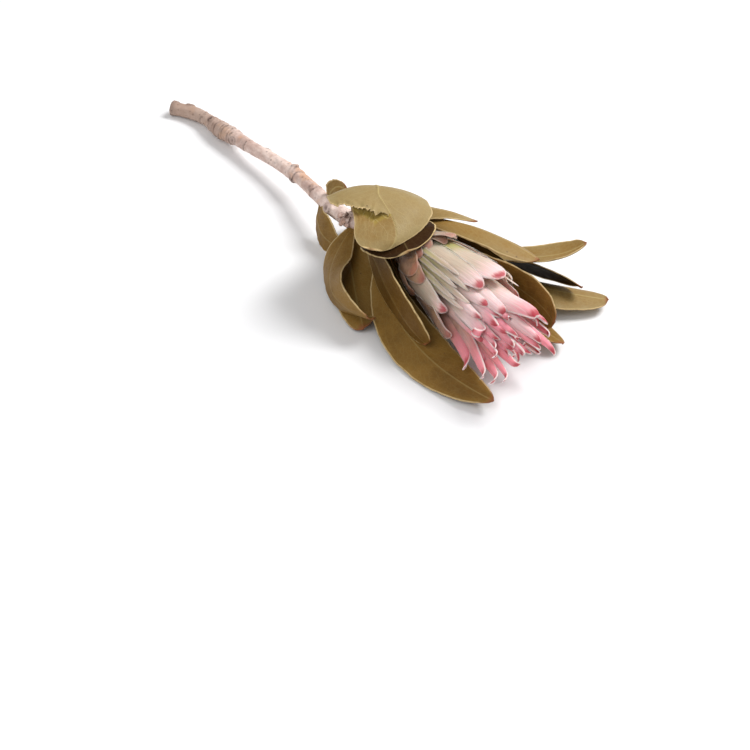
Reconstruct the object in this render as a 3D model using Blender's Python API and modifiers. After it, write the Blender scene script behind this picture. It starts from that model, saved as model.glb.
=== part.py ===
"""Dried protea flower, cut and lying on a surface: a woody stem, its leaves and one half-open bloom.

Metres, +Z up. +X runs along the flower, from the cut end of the stem to the tips of the bloom. The origin
is on the surface that the flower lies on, under the middle of its bounding box.
"""

import math
import random
from collections import namedtuple

import bmesh
import bpy
from mathutils import Matrix, Vector

MM = 0.001

# Where the bloom's base is, from the origin. Every other place below is in millimetres from a point on
# the surface under the bloom's base.
BASE_X, BASE_Y = 39.0, -11.8

# Stem: points along its centre line, with the radius there. The thick ones are old nodes.
STEM_ROUTE = (
    ((-193.0, 1.5, 3.7), 3.7),
    ((-189.0, 3.4, 3.8), 3.5),
    ((-181.0, 6.8, 4.1), 3.6),
    ((-172.0, 8.0, 4.8), 3.3),
    ((-162.0, 7.6, 5.4), 3.7),
    ((-155.0, 7.2, 6.0), 4.3),
    ((-147.0, 7.6, 6.8), 4.2),
    ((-139.0, 7.4, 7.7), 3.6),
    ((-126.0, 7.2, 9.0), 3.3),
    ((-108.0, 7.4, 10.8), 3.3),
    ((-90.0, 6.2, 12.8), 3.7),
    ((-84.0, 5.4, 13.6), 3.3),
    ((-66.0, 1.6, 16.0), 3.6),
    ((-48.0, -2.2, 18.6), 4.0),
    ((-30.0, -2.8, 20.8), 4.3),
    ((-16.0, -0.7, 24.2), 4.6),
    ((-6.0, 0.3, 25.9), 5.0),
    ((-0.35, 0.0, 26.0), 5.6),
)
STEM_STEP = 4.5  # spacing of the points along the finished stem
STEM_SIDES = 10

# Stubs that old leaves and side shoots left on the stem: x, the angle round the stem from straight up
# towards +Y, length beyond the stem's own radius, and radius.
STUBS = (
    (-184.0, 35.0, 1.2, 1.7),
    (-164.0, -20.0, 1.1, 1.6),
    (-158.0, 130.0, 1.0, 1.7),
    (-141.0, -75.0, 0.8, 1.8),
    (-118.0, 60.0, 0.9, 1.5),
    (-92.0, 20.0, 1.4, 1.6),
    (-88.0, -110.0, 0.9, 1.4),
    (-69.0, -35.0, 0.8, 1.5),
    (-47.0, -62.0, 2.6, 2.2),
)

# Bloom: its axis starts over the origin of the places, at AXIS_HEIGHT, and is turned a little aside. The
# profiles are distance along the axis, radius.
AXIS_HEIGHT = 26.0
AXIS_YAW = -3.0
AXIS_PITCH = 0.2
RECEPTACLE = ((0.0, 6.0), (4.0, 8.6), (9.0, 9.4), (14.0, 8.2), (17.0, 5.0))
RECEPTACLE_SIDES = 16
OUTSIDE = ((0.0, 7.0), (8.0, 11.5), (20.0, 15.2), (32.0, 18.6), (55.0, 21.8), (85.0, 22.0), (120.0, 17.0))
INSIDE = ((10.0, 8.0), (20.0, 8.0), (60.0, 9.0), (90.0, 8.5), (120.0, 5.0))
FLORET_CONE = ((17.8, 3.6), (30.0, 5.2), (52.0, 6.0), (74.0, 5.4), (88.0, 2.4))
FLORET_SIDES = 12

# Bracts of the side that faces up and towards -Y: the angle round the axis from straight up towards +Y,
# the distance of the tip along the axis, its distance from the axis, and the width.
BRACTS_SEEN = (
    (30, 32, 19.4, 10.0),
    (8, 33, 18.0, 9.5),
    (-16, 30, 17.2, 9.5),
    (-40, 31, 17.8, 10.0),
    (-66, 41, 19.4, 12.5),
    (-100, 35, 19.4, 11.0),
    (10, 72, 20.8, 19.0),
    (-20, 70, 19.8, 12.5),
    (-80, 60, 20.2, 12.5),
    (-104, 68, 24.0, 12.5),
    (0, 100, 18.6, 16.5),
    (-20, 88, 16.8, 10.5),
    (-38, 78, 17.0, 10.5),
    (-60, 79, 17.8, 8.0),
    (-72, 81, 18.0, 10.0),
    (-86, 86, 18.4, 9.5),
    (-110, 85, 26.6, 12.0),
    (-24, 109, 12.4, 8.5),
    (-50, 88, 15.4, 8.5),
    (-33, 92, 13.6, 8.5),
    (-22, 99, 11.6, 8.0),
    (-58, 94, 14.6, 8.5),
    (-100, 98, 26.0, 9.0),
    (-90, 108, 16.4, 8.0),
    (-96, 109, 21.4, 8.0),
    (-106, 105, 26.0, 8.0),
    (-15, 117, 9.8, 8.0),
    (-48, 102, 9.8, 8.0),
    (-82, 106, 10.4, 8.0),
    (-76, 99, 12.0, 8.0),
)
SEEN_MIDDLE, SEEN_SPREAD = -34.0, 100.0  # the rest are placed by the rule, outside of this angle

BRACTS_BY_RULE = 46
BRACT_TURN = 137.5  # degrees from one bract to the next
BRACT_SEED = 11
BRACT_THICK = 0.75
BRACT_LENGTHS = ((0.0, 27.0), (0.12, 34.0), (0.3, 60.0), (0.5, 78.0), (0.75, 92.0), (0.9, 98.0), (1.0, 95.0))
BRACT_WIDTHS = ((0.0, 10.0), (0.2, 13.5), (0.5, 11.0), (0.8, 8.5), (1.0, 7.5))
BRACT_LIFT = 32.0  # degrees that the long bracts of the -Y side are rolled to face up
BRACT_LIFTED = (60.0, 85.0)
BRACT_DEPTHS = ((25.0, 0.0), (36.0, 0.1), (60.0, 0.26), (80.0, 0.48), (100.0, 0.8), (117.0, 0.95))
BRACT_FOOT = 0.55  # share of the full width at the base
BRACT_POINT = 0.5
BRACT_START, BRACT_START_IN = 3.0, 13.0  # distance where the outermost and the innermost begin
BRACT_SINK = 1.6  # how deep a bract's base is in the receptacle
BRACT_OPENING = 14.0  # the distance that a bract takes to reach its place off the axis
BRACT_HOLLOW = 0.35  # how much closer the innermost are rolled than the bloom is round
BRACT_ROWS, BRACT_ACROSS = 7, 4

# Leaves: where the midrib starts inside the stem, where it passes halfway and where it ends, and the way
# that the outer face looks halfway. Then the width, the share of the length where it is widest, how
# pointed it is (0.3 blunt, 0.7 pointed), how far the margins curl towards the outer face in degrees, the
# height and the count of the waves along the margin, and the twist from base to tip in degrees.
Leaf = namedtuple("Leaf", "start via end face width widest point curl wave waves twist")
LEAVES = {
    "leaf_top_torn": Leaf(
        (-33, 3, 21), (-10.1, -5.3, 53.7), (14, -28.8, 44), (0.04, 0.1, 1),
        48.5, 0.55, 0.42, -26, 0.8, 1.2, 0,
    ),
    "leaf_top_under": Leaf(
        (-9, -2, 26), (7, -9.5, 40), (26.5, -17, 42), (0, -0.2, 0.98),
        37, 0.6, 0.46, -16, 0.8, 1.6, 0,
    ),
    "leaf_small_curled": Leaf(
        (-56, 0, 17), (-53, 3, 26), (-45, 4, 28), (0.3, -0.6, 0.6),
        9, 0.5, 0.48, 60, 0.4, 1, 0,
    ),
    "leaf_stem_left": Leaf(
        (-58, -1, 17), (-48, -11, 10.8), (-31, -10, 6.6), (-0.6, -0.7, 0.3),
        19, 0.5, 0.48, -20, 0.6, 1.5, 0,
    ),
    "leaf_left_flank": Leaf(
        (-21.1, -4.1, 20), (29.4, -27.6, 20), (53.4, -28.2, 10.6), (-0.09, -0.99, 0.09),
        20, 0.44, 0.36, -16, 1, 1.1, 31,
    ),
    "leaf_left_rolled": Leaf(
        (-28.8, -4.1, 19.9), (-8.5, -35.5, 12), (25.9, -38.6, 12.7), (0.65, 0.66, -0.37),
        19.5, 0.3, 0.2, 38, 0.6, 1.4, 131,
    ),
    "leaf_back_long": Leaf(
        (-17, 2, 27), (-2.7, 13.7, 36.5), (19.9, 30.8, 33.5), (-0.11, 0.21, 0.97),
        19.2, 0.54, 0.57, -27, 0.8, 1.3, -26,
    ),
    "leaf_right_high": Leaf(
        (-32, -1, 18.4), (33.1, 34, 18.7), (61.2, 63, 29.7), (-0.17, 0.21, 0.96),
        20.8, 0.73, 0.52, 30, 0.6, 1.1, 24,
    ),
    "leaf_right_back": Leaf(
        (-25, 3.5, 20.5), (15.7, 19.1, 36.3), (57.1, 36.4, 29.7), (-0.22, 0.36, 0.91),
        21, 0.84, 0.65, -43, 0.7, 1.2, 11,
    ),
    "leaf_right_dark": Leaf(
        (-34, 0.1, 15.1), (20.5, 40.5, 11.2), (70.1, 52.8, 13.4), (0.21, 0.81, 0.54),
        20.2, 0.66, 0.81, -17, 0.9, 1.3, -4,
    ),
    "leaf_right_inner": Leaf(
        (-10.5, 0.4, 26.2), (28.3, 20.9, 30.2), (61.8, 25.8, 20.6), (0, 1, 0.35),
        16, 0.58, 0.48, -34, 0.8, 1.2, 8,
    ),
    "leaf_right_flank": Leaf(
        (-19, 0, 20), (44.7, 21.2, 21.1), (85.4, 20.1, 18.2), (0, 1, -0.01),
        24.7, 0.66, 0.43, -12, 1, 1.2, -11,
    ),
    "leaf_right_low": Leaf(
        (-26, 0.5, 14), (33.8, 31, 9.3), (77.3, 63.9, 5.1), (0, 0.3, 0.95),
        26.6, 0.6, 0.4, -30, 0.9, 1.2, 26,
    ),
    "leaf_under_left": Leaf(
        (-10, -2, 19), (37.6, -27.7, 7.8), (98.3, -27.4, 5.7), (0, -0.3, 0.95),
        25, 0.58, 0.62, -8, 0.4, 1, 0,
    ),
    "leaf_under_right": Leaf(
        (-8.5, 3.5, 13.5), (36, 19, 6.8), (88.6, 23.5, 6.2), (0, 0.3, 0.95),
        23, 0.58, 0.48, -8, 0.4, 1, 0,
    ),
    "leaf_under_middle": Leaf(
        (-17, -2, 18), (12, -2, 4.5), (52, 3, 2.5), (0, 0, 1),
        24, 0.58, 0.48, -4, 0.2, 1, 0,
    ),
    "leaf_back_low": Leaf(
        (-47, -2, 17), (-31.2, 21.6, 8.6), (-3.7, 46.6, 3.6), (0, 0.3, 0.95),
        26, 0.58, 0.48, -14, 0.9, 1.4, 5,
    ),
    "leaf_front_low": Leaf(
        (-32, -4, 17), (-13.2, -18.6, 8.7), (19.7, -38, 3.4), (-0.04, -0.36, 0.93),
        22.2, 0.58, 0.42, -14, 0.9, 1.4, -5,
    ),
}
LEAF_THICK = 0.7
LEAF_FOOT = 0.2  # share of the full width at the base
LEAF_ROWS, LEAF_ACROSS = 10, 4
STEM_GAP = 0.35  # between a leaf's base and the stem


def place(x, y, z):
    """A place in millimetres from the surface under the bloom's base, as a vector in metres."""
    return Vector((x + BASE_X, y + BASE_Y, z)) * MM


def smooth_step(low, high, value):
    share = min(1.0, max(0.0, (value - low) / (high - low)))
    return share * share * (3 - 2 * share)


def ramp(pairs, value):
    """Straight-line interpolation through (at, value) pairs."""
    if value <= pairs[0][0]:
        return pairs[0][1]
    for (at, low), (then, high) in zip(pairs, pairs[1:]):
        if value <= then:
            return low + (high - low) * (value - at) / (then - at)
    return pairs[-1][1]


def outline(s, widest, foot, point):
    """Share of the full width at s along a blade: foot at its base, 1 at widest, rounded off to its tip."""
    if s < widest:
        return foot + (1 - foot) * math.sin(math.pi / 2 * s / widest) ** 1.3
    rest = (s - widest) / (1 - widest)
    return max(0.1, (1 - rest ** 2) ** point)


def rows_along(count):
    """Shares of the length, closer together towards the tip."""
    return [0.45 * j / count + 0.55 * math.sin(math.pi / 2 * j / count) for j in range(count + 1)]


def material(name, colour, roughness):
    made = bpy.data.materials.new(name)
    made.use_nodes = True
    shader = made.node_tree.nodes["Principled BSDF"]
    shader.inputs["Base Color"].default_value = (*colour, 1)
    shader.inputs["Roughness"].default_value = roughness
    shader.inputs["Metallic"].default_value = 0.0
    return made


def collection(name):
    made = bpy.data.collections.new(name)
    bpy.context.scene.collection.children.link(made)
    return made


def new_object(name, mesh, home, finish=None):
    made = bpy.data.objects.new(name, mesh)
    home.objects.link(made)
    if finish:
        mesh.materials.clear()
        mesh.materials.append(finish)
    return made


def as_mesh(source, name, home, finish=None, weld=0.01):
    """A mesh object of what source evaluates to, welded within weld millimetres. The source is removed."""
    bpy.context.view_layer.update()
    graph = bpy.context.evaluated_depsgraph_get()
    mesh = bpy.data.meshes.new_from_object(source.evaluated_get(graph))
    shape = bmesh.new()
    shape.from_mesh(mesh)
    bmesh.ops.remove_doubles(shape, verts=shape.verts, dist=weld * MM)
    bmesh.ops.recalc_face_normals(shape, faces=shape.faces)
    shape.to_mesh(mesh)
    shape.free()
    made = new_object(name, mesh, home, finish)
    made.matrix_world = source.matrix_world.copy()
    bpy.data.objects.remove(source)
    return made


def smooth_route(stations, step):
    """(point, radius) at about every step along a smooth curve through the stations."""
    ends = [stations[0], *stations, stations[-1]]
    found = []
    for i in range(1, len(ends) - 2):
        before, low, high, after = (Vector(ends[i + k][0]) for k in (-1, 0, 1, 2))
        count = max(1, round((high - low).length / step))
        for k in range(count):
            u = k / count
            point = 0.5 * (
                2 * low
                + (high - before) * u
                + (2 * before - 5 * low + 4 * high - after) * u * u
                + (3 * low - before - 3 * high + after) * u ** 3
            )
            radius = ends[i][1] + (ends[i + 1][1] - ends[i][1]) * smooth_step(0, 1, u)
            found.append((point, radius))
    found.append((Vector(stations[-1][0]), stations[-1][1]))
    return found


def tube(name, route, home, extra=0.0):
    """A tube along a route of (point, radius) in millimetres, as a mesh."""
    curve = bpy.data.curves.new(name, "CURVE")
    curve.dimensions = "3D"
    curve.bevel_depth = MM
    curve.bevel_resolution = STEM_SIDES // 2 - 2
    curve.use_fill_caps = True
    spline = curve.splines.new("POLY")
    spline.points.add(len(route) - 1)
    for point, (where, radius) in zip(spline.points, route):
        point.co = (*place(*where), 1)
        point.radius = radius + extra
    source = new_object(name + "_line", curve, home)
    return as_mesh(source, name, home)


def join(name, pieces, home, finish):
    """One solid from overlapping ones: the pieces' union. They are removed."""
    first, *others = pieces
    extra = collection(name + "_pieces")
    for piece in others:
        home.objects.unlink(piece)
        extra.objects.link(piece)
    union = first.modifiers.new("union", "BOOLEAN")
    union.operation = "UNION"
    union.operand_type = "COLLECTION"
    union.collection = extra
    union.solver = "MANIFOLD"
    made = as_mesh(first, name, home, finish, weld=0.0001)
    for piece in others:
        bpy.data.objects.remove(piece)
    bpy.data.collections.remove(extra)
    return made


def keep_outer_body(solid):
    """Leaves only the largest outer surface, which fills sealed hollows and drops loose scraps."""
    shape = bmesh.new()
    shape.from_mesh(solid.data)
    left, bodies = set(shape.verts), []
    while left:
        seen, edge = set(), [left.pop()]
        while edge:
            vert = edge.pop()
            seen.add(vert)
            edge += [n for e in vert.link_edges if (n := e.other_vert(vert)) not in seen]
            seen.update(edge)
        left -= seen
        bodies.append(seen)
    largest = max(bodies, key=len)
    bmesh.ops.delete(shape, geom=[v for body in bodies if body is not largest for v in body], context="VERTS")
    shape.to_mesh(solid.data)
    shape.free()


def bezier(start, via, end, s):
    """The point, and the direction, at s on the parabola from start to end that passes via at 0.5."""
    control = 2 * via - (start + end) / 2
    point = (1 - s) ** 2 * start + 2 * s * (1 - s) * control + s * s * end
    return point, (2 * (1 - s) * (control - start) + 2 * s * (end - control)).normalized()


def carried(normal, old, new):
    """A normal carried along a curve whose direction turns from old to new."""
    return (old.rotation_difference(new) @ normal).normalized()


def blade_frames(start, via, end, face, shares, twist):
    """(point, direction, normal) at each share, with the normal nearest to face halfway along."""
    fine = [k / 40 for k in range(41)]
    lines = [bezier(start, via, end, s) for s in fine]
    middle = lines[20][1]
    normals = [None] * 41
    normals[20] = (face - face.dot(middle) * middle).normalized()
    for k in range(21, 41):
        normals[k] = carried(normals[k - 1], lines[k - 1][1], lines[k][1])
    for k in range(19, -1, -1):
        normals[k] = carried(normals[k + 1], lines[k + 1][1], lines[k][1])
    frames = []
    for s in shares:
        point, along = bezier(start, via, end, s)
        normal = normals[round(s * 40)]
        normal = (normal - normal.dot(along) * along).normalized()
        turn = Matrix.Rotation(math.radians(twist) * (s - 0.5), 3, along)
        frames.append((point, along, turn @ normal))
    return frames


def grid_blade(name, rows, across, mapping, thick, home, finish=None):
    """A closed blade: a flat grid bent by mapping(row, side), with row from 0 and side from -1 to 1."""
    shape = bmesh.new()
    bmesh.ops.create_grid(shape, x_segments=rows, y_segments=across, size=1)
    for vert in shape.verts:
        vert.co = mapping(round((vert.co.x + 1) / 2 * rows), vert.co.y)
    bmesh.ops.triangulate(shape, faces=shape.faces)
    mesh = bpy.data.meshes.new(name)
    shape.to_mesh(mesh)
    shape.free()
    made = new_object(name, mesh, home, finish)
    made.data.shade_smooth()
    solid = made.modifiers.new("thickness", "SOLIDIFY")
    solid.thickness = thick * MM
    solid.offset = 0
    return made


def leaf(name, spec, home, finish):
    shares = rows_along(LEAF_ROWS)
    midrib = (Vector(spec.start), Vector(spec.via), Vector(spec.end))
    frames = blade_frames(*midrib, Vector(spec.face), shares, spec.twist)

    def bend(row, side):
        s = shares[row]
        point, along, normal = frames[row]
        sideways = along.cross(normal)
        half = spec.width / 2 * outline(s, spec.widest, LEAF_FOOT, spec.point)
        bow = math.radians(spec.curl) * smooth_step(0.0, 0.35, s)
        angle = bow * side if abs(bow) > 0.001 else 0.001 * side
        radius = half * side / angle if side else 0.0
        phase = 2 * math.pi * spec.waves * s + side
        ripple = spec.wave * side * side * math.sin(phase) * smooth_step(0.1, 0.4, s)
        offset = sideways * radius * math.sin(angle) + normal * (radius * (1 - math.cos(angle)) + ripple)
        return place(*(point + offset))

    return grid_blade(name, LEAF_ROWS, LEAF_ACROSS, bend, LEAF_THICK, home, finish)


def bloom_axes():
    """The bloom's axis, and the directions across it that lie nearest to +Z and +Y."""
    yaw, pitch = math.radians(AXIS_YAW), math.radians(AXIS_PITCH)
    along = Vector((math.cos(yaw) * math.cos(pitch), math.sin(yaw) * math.cos(pitch), math.sin(pitch)))
    side = Vector((-math.sin(yaw), math.cos(yaw), 0))
    return along, along.cross(side), side


def bloom_point(distance, across, sideways):
    """A place from its distance along the bloom's axis, and across it upwards and towards +Y."""
    along, up, side = bloom_axes()
    return Vector((0, 0, AXIS_HEIGHT)) + along * distance + up * across + side * sideways


def turned(name, profile, sides, home, finish=None):
    """A solid turned round the bloom's axis from (distance, radius) pairs."""
    shape = bmesh.new()
    stops = [(profile[-1][0], 0.0), *reversed(profile), (profile[0][0], 0.0)]
    verts = [shape.verts.new((radius * MM, 0, distance * MM)) for distance, radius in stops]
    for low, high in zip(verts, verts[1:]):
        shape.edges.new((low, high))
    mesh = bpy.data.meshes.new(name)
    shape.to_mesh(mesh)
    shape.free()
    made = new_object(name + "_profile", mesh, home, finish)
    screw = made.modifiers.new("turn", "SCREW")
    screw.steps = screw.render_steps = sides
    screw.use_merge_vertices = True
    screw.merge_threshold = 0.00001
    along, _, _ = bloom_axes()
    turn = along.to_track_quat("Z", "Y").to_matrix().to_4x4()
    made.matrix_world = Matrix.Translation(place(0, 0, AXIS_HEIGHT)) @ turn
    return as_mesh(made, name, home, finish)


def bract_plan():
    """(angle, tip distance, tip radius, width) of every bract, the outer ones first."""
    draw = random.Random(BRACT_SEED)
    plan = list(BRACTS_SEEN)
    for i in range(BRACTS_BY_RULE):
        share = i / (BRACTS_BY_RULE - 1)
        angle = i * BRACT_TURN + draw.uniform(-5, 5)
        reach = ramp(BRACT_LENGTHS, share) + draw.uniform(-4, 4)
        radius = body_radius(reach, ramp(BRACT_DEPTHS, reach)) + draw.uniform(-1.0, 2.0)
        wide = ramp(BRACT_WIDTHS, share) * draw.uniform(0.92, 1.08)
        if abs((angle - SEEN_MIDDLE + 180) % 360 - 180) > SEEN_SPREAD:
            plan.append((angle, reach, radius, wide))
    return sorted(plan, key=lambda one: one[1])


def body_radius(distance, depth):
    """How far from the axis a bract of this depth in the bloom runs: 0 is outermost, 1 innermost."""
    outer = ramp(OUTSIDE, distance)
    return outer - depth * (outer - ramp(INSIDE, distance))


def bract(number, spec, home):
    angle, reach, tip_radius, width = spec
    depth = ramp(BRACT_DEPTHS, reach)
    start = BRACT_START + (BRACT_START_IN - BRACT_START) * depth
    root = ramp(RECEPTACLE, start) - BRACT_SINK
    flare = tip_radius - body_radius(reach, depth)
    shares = rows_along(BRACT_ROWS)
    turn = math.radians(angle)
    lift = math.radians(BRACT_LIFT) * smooth_step(*BRACT_LIFTED, reach) * smooth_step(-70, -110, angle)
    closeness = 1.0 - BRACT_HOLLOW * depth
    widest = 0.42 + 0.3 * smooth_step(0.1, 0.7, depth)

    def bend(row, side):
        s = shares[row]
        distance = start + (reach - start) * s
        spread = smooth_step(0.0, BRACT_OPENING / (reach - start) + 0.12, s)
        radius = root + (body_radius(distance, depth) - root) * spread + flare * s ** 2.5
        half = width / 2 * outline(s, widest, BRACT_FOOT, BRACT_POINT)
        bow = radius * closeness
        swing = half * side / bow
        hollow, sideways = bow * (math.cos(swing) - 1), bow * math.sin(swing)
        roll = lift * spread
        across = radius + hollow * math.cos(roll) - sideways * math.sin(roll)
        sideways = hollow * math.sin(roll) + sideways * math.cos(roll)
        return place(
            *bloom_point(
                distance,
                across * math.cos(turn) - sideways * math.sin(turn),
                across * math.sin(turn) + sideways * math.cos(turn),
            )
        )

    return grid_blade(f"bract_{number:02d}", BRACT_ROWS, BRACT_ACROSS, bend, BRACT_THICK, home)


def build_stem(home, finish):
    route = smooth_route(STEM_ROUTE, STEM_STEP)
    pieces = [tube("stem_run", route, home)]
    for x, angle, length, thick in STUBS:
        centre, radius = min(route, key=lambda one: abs(one[0].x - x))
        turn = math.radians(angle)
        out = Vector((0.25, math.sin(turn), math.cos(turn))).normalized()
        ends = [(centre, thick), (centre + out * (radius + length), thick * 0.8)]
        pieces.append(tube("stub", ends, home))
    return join("stem", pieces, home, finish)


def build_bract_head(home, finish):
    pieces = [turned("receptacle", RECEPTACLE, RECEPTACLE_SIDES, home)]
    pieces += [bract(number, spec, home) for number, spec in enumerate(bract_plan())]
    head = join("bract_head", pieces, home, finish)
    keep_outer_body(head)
    return head


def cut_leaf_bases(leaves, cutters):
    """Cuts each leaf's base clear of the stem, by a stem that is fatter by the gap."""
    route = smooth_route(STEM_ROUTE, STEM_STEP)
    cutter = tube("stem_clearance", route, cutters, STEM_GAP)
    cutter.hide_render = True
    cutter.display_type = "WIRE"
    for piece in leaves:
        cut = piece.modifiers.new("clear_of_stem", "BOOLEAN")
        cut.operation = "DIFFERENCE"
        cut.object = cutter
        cut.solver = "MANIFOLD"


def main():
    for thing in list(bpy.data.objects):
        bpy.data.objects.remove(thing)
    flower = collection("dried_protea_flower")
    cutters = collection("cutters")
    bark = material("stem", (0.60, 0.47, 0.41), 0.75)
    dry_leaf = material("leaf", (0.27, 0.20, 0.075), 0.62)
    bract_skin = material("bracts", (0.80, 0.52, 0.50), 0.6)
    floret_hair = material("florets", (0.83, 0.70, 0.66), 0.8)
    build_stem(flower, bark)
    leaves = [leaf(name, spec, flower, dry_leaf) for name, spec in LEAVES.items()]
    cut_leaf_bases(leaves, cutters)
    build_bract_head(flower, bract_skin)
    turned("floret_cone", FLORET_CONE, FLORET_SIDES, flower, floret_hair)


main()
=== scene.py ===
"""Looks of the dried protea flower: bark, leathery leaves with pale margins, silky bracts with red tips."""

import math
import random
from collections import namedtuple

import bmesh
import bpy
import numpy as np
from mathutils import Matrix, Vector, noise


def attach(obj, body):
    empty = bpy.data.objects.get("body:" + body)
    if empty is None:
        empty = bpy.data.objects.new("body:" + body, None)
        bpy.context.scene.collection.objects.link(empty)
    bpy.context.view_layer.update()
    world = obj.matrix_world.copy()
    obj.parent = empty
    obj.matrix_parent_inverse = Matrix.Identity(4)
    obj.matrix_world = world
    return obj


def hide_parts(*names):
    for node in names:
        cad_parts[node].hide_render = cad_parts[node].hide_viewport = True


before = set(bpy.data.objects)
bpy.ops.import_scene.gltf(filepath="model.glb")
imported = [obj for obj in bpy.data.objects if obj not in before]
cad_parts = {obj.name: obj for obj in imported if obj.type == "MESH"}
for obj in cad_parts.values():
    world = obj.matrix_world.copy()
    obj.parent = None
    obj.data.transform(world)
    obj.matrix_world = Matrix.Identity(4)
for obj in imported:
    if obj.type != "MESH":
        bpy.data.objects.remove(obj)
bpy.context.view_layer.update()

MM = 0.001

# The places below are in millimetres from a point on the surface under the bloom's base, as in the solids.
BASE_X, BASE_Y = 39.0, -11.8

# Camera: direction that it looks from, distance and the point that it looks at.
CAMERA_AZIMUTH, CAMERA_ELEVATION = 50.9, 40.0
CAMERA_DISTANCE = 0.9
CAMERA_AIM = (0.0849, -0.0643, 0.0)
CAMERA_LENS, CAMERA_SENSOR = 94.94, 36.0

# Soft lights: degrees on from the camera's azimuth, elevation, distance, size and power; what they look at.
LIGHTS = {"key": (115, 52, 1.2, 0.55, 15), "front": (-35, 50, 1.3, 0.9, 6)}
LIGHT_AIM = (0.03, -0.02, 0.02)
SKY_STRENGTH = 0.43
FLOOR_REACH, FLOOR_WHITE = 3.0, (0.86, 0.86, 0.87, 1)

# Stem: its middle line and its radius there
STEM_ROUTE = (
    ((-193.0, 1.5, 3.7), 3.7), ((-189.0, 3.4, 3.8), 3.5), ((-181.0, 6.8, 4.1), 3.6),
    ((-172.0, 8.0, 4.8), 3.3), ((-162.0, 7.6, 5.4), 3.7), ((-155.0, 7.2, 6.0), 4.3),
    ((-147.0, 7.6, 6.8), 4.2), ((-139.0, 7.4, 7.7), 3.6), ((-126.0, 7.2, 9.0), 3.3),
    ((-108.0, 7.4, 10.8), 3.3), ((-90.0, 6.2, 12.8), 3.7), ((-84.0, 5.4, 13.6), 3.3),
    ((-66.0, 1.6, 16.0), 3.6), ((-48.0, -2.2, 18.6), 4.0), ((-30.0, -2.8, 20.8), 4.3),
    ((-16.0, -0.7, 24.2), 4.6), ((-6.0, 0.3, 25.9), 5.0), ((-0.35, 0.0, 26.0), 5.6),
)
STEM_STEP = 0.55
STEM_SIDES = 44
CUT_RINGS = ((0.06, 0.9, 1.0), (0.3, 0.6, 1.0), (0.6, 0.35, 1.0), (0.86, 0.1, 0.9))  # radius, depth, rawness
TOP_RINGS = (0.8, 0.05)  # close the other end, inside the bloom
TORN_END_REACH, TORN_END_RISE = 2.6, 0.45  # the frayed bark at the cut end

# The bark is older and browner towards the cut end and round the cluster of rings.
OLD_FROM, OLD_TO = -140.0, -172.0
OLD_RINGS, OLD_RINGS_REACH = -151.0, 7.0

# The bark's unevenness: height, and fineness along the stem and round it.
BARK_NOISE = ((0.20, 0.4, 1.5), (0.13, 0.08, 5), (0.10, 1.3, 4))
BARK_MARKS = ("scar", "cut", "old", "long", "round")  # what its finish reads from the mesh

# Stubs of old leaves and side shoots: x, angle round the stem from straight up, length, radius.
STUBS = (
    (-184.0, 35.0, 1.2, 1.7), (-164.0, -20.0, 1.1, 1.6), (-158.0, 130.0, 1.0, 1.7),
    (-141.0, -75.0, 0.8, 1.8), (-118.0, 60.0, 0.9, 1.5), (-92.0, 20.0, 1.4, 1.6),
    (-88.0, -110.0, 0.9, 1.4), (-69.0, -35.0, 0.8, 1.5), (-47.0, -62.0, 2.6, 2.2),
    (-33.0, -78.0, 1.5, 2.3),
)
STUB_RISE, STUB_PIT, STUB_REACH = 0.9, 0.45, 2.6

# Rings that bud scales left round the stem: x, height and width of the ridge.
BARK_RINGS = (
    (-174.0, 0.25, 0.8), (-164.5, 0.35, 0.7), (-161.5, 0.45, 0.7), (-158.0, 0.50, 0.8),
    (-154.5, 0.50, 0.7), (-151.5, 0.40, 0.7), (-148.0, 0.45, 0.8), (-144.5, 0.35, 0.7),
    (-132.0, 0.15, 0.7), (-91.0, 0.30, 0.9), (-87.5, 0.25, 0.8), (-68.0, 0.20, 0.8),
)
RING_SLANT, RING_WOBBLE, RING_RISE, RING_GROOVE = 0.9, 0.35, 1.25, 0.5

# Bloom: its axis, and the radius at distances along it of its base, its outside and its hollow middle
AXIS_HEIGHT = 26.0
AXIS_YAW = -3.0
AXIS_PITCH = 0.2
BASE_RINGS, BASE_SIDES = 24, 48
RECEPTACLE = ((0.0, 6.0), (4.0, 8.6), (9.0, 9.4), (14.0, 8.2), (17.0, 5.0))
OUTSIDE = ((0.0, 7.0), (8.0, 11.5), (20.0, 15.2), (32.0, 18.6), (55.0, 21.8), (85.0, 22.0), (120.0, 17.0))
INSIDE = ((10.0, 8.0), (20.0, 8.0), (60.0, 9.0), (90.0, 8.5), (120.0, 5.0))

# Bracts of the side that faces up and towards -Y: angle, tip distance, tip radius, width.
BRACTS_SEEN = (
    (30, 32, 19.4, 10.0), (8, 33, 18.0, 9.5), (-16, 30, 17.2, 9.5), (-40, 31, 17.8, 10.0),
    (-66, 41, 19.4, 12.5), (-100, 35, 19.4, 11.0), (10, 72, 20.8, 19.0), (-20, 70, 19.8, 12.5),
    (-80, 60, 20.2, 12.5), (-104, 68, 24.0, 12.5), (0, 100, 18.6, 16.5), (-20, 88, 16.8, 10.5),
    (-38, 78, 17.0, 10.5), (-60, 79, 17.8, 8.0), (-72, 81, 18.0, 10.0), (-86, 86, 18.4, 9.5),
    (-110, 85, 26.6, 12.0), (-24, 109, 12.4, 8.5), (-50, 88, 15.4, 8.5), (-33, 92, 13.6, 8.5),
    (-22, 99, 11.6, 8.0), (-58, 94, 14.6, 8.5), (-100, 98, 26.0, 9.0), (-90, 108, 16.4, 8.0),
    (-96, 109, 21.4, 8.0), (-106, 105, 26.0, 8.0), (-15, 117, 9.8, 8.0), (-48, 102, 9.8, 8.0),
    (-82, 106, 10.4, 8.0), (-76, 99, 12.0, 8.0),
)

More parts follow.
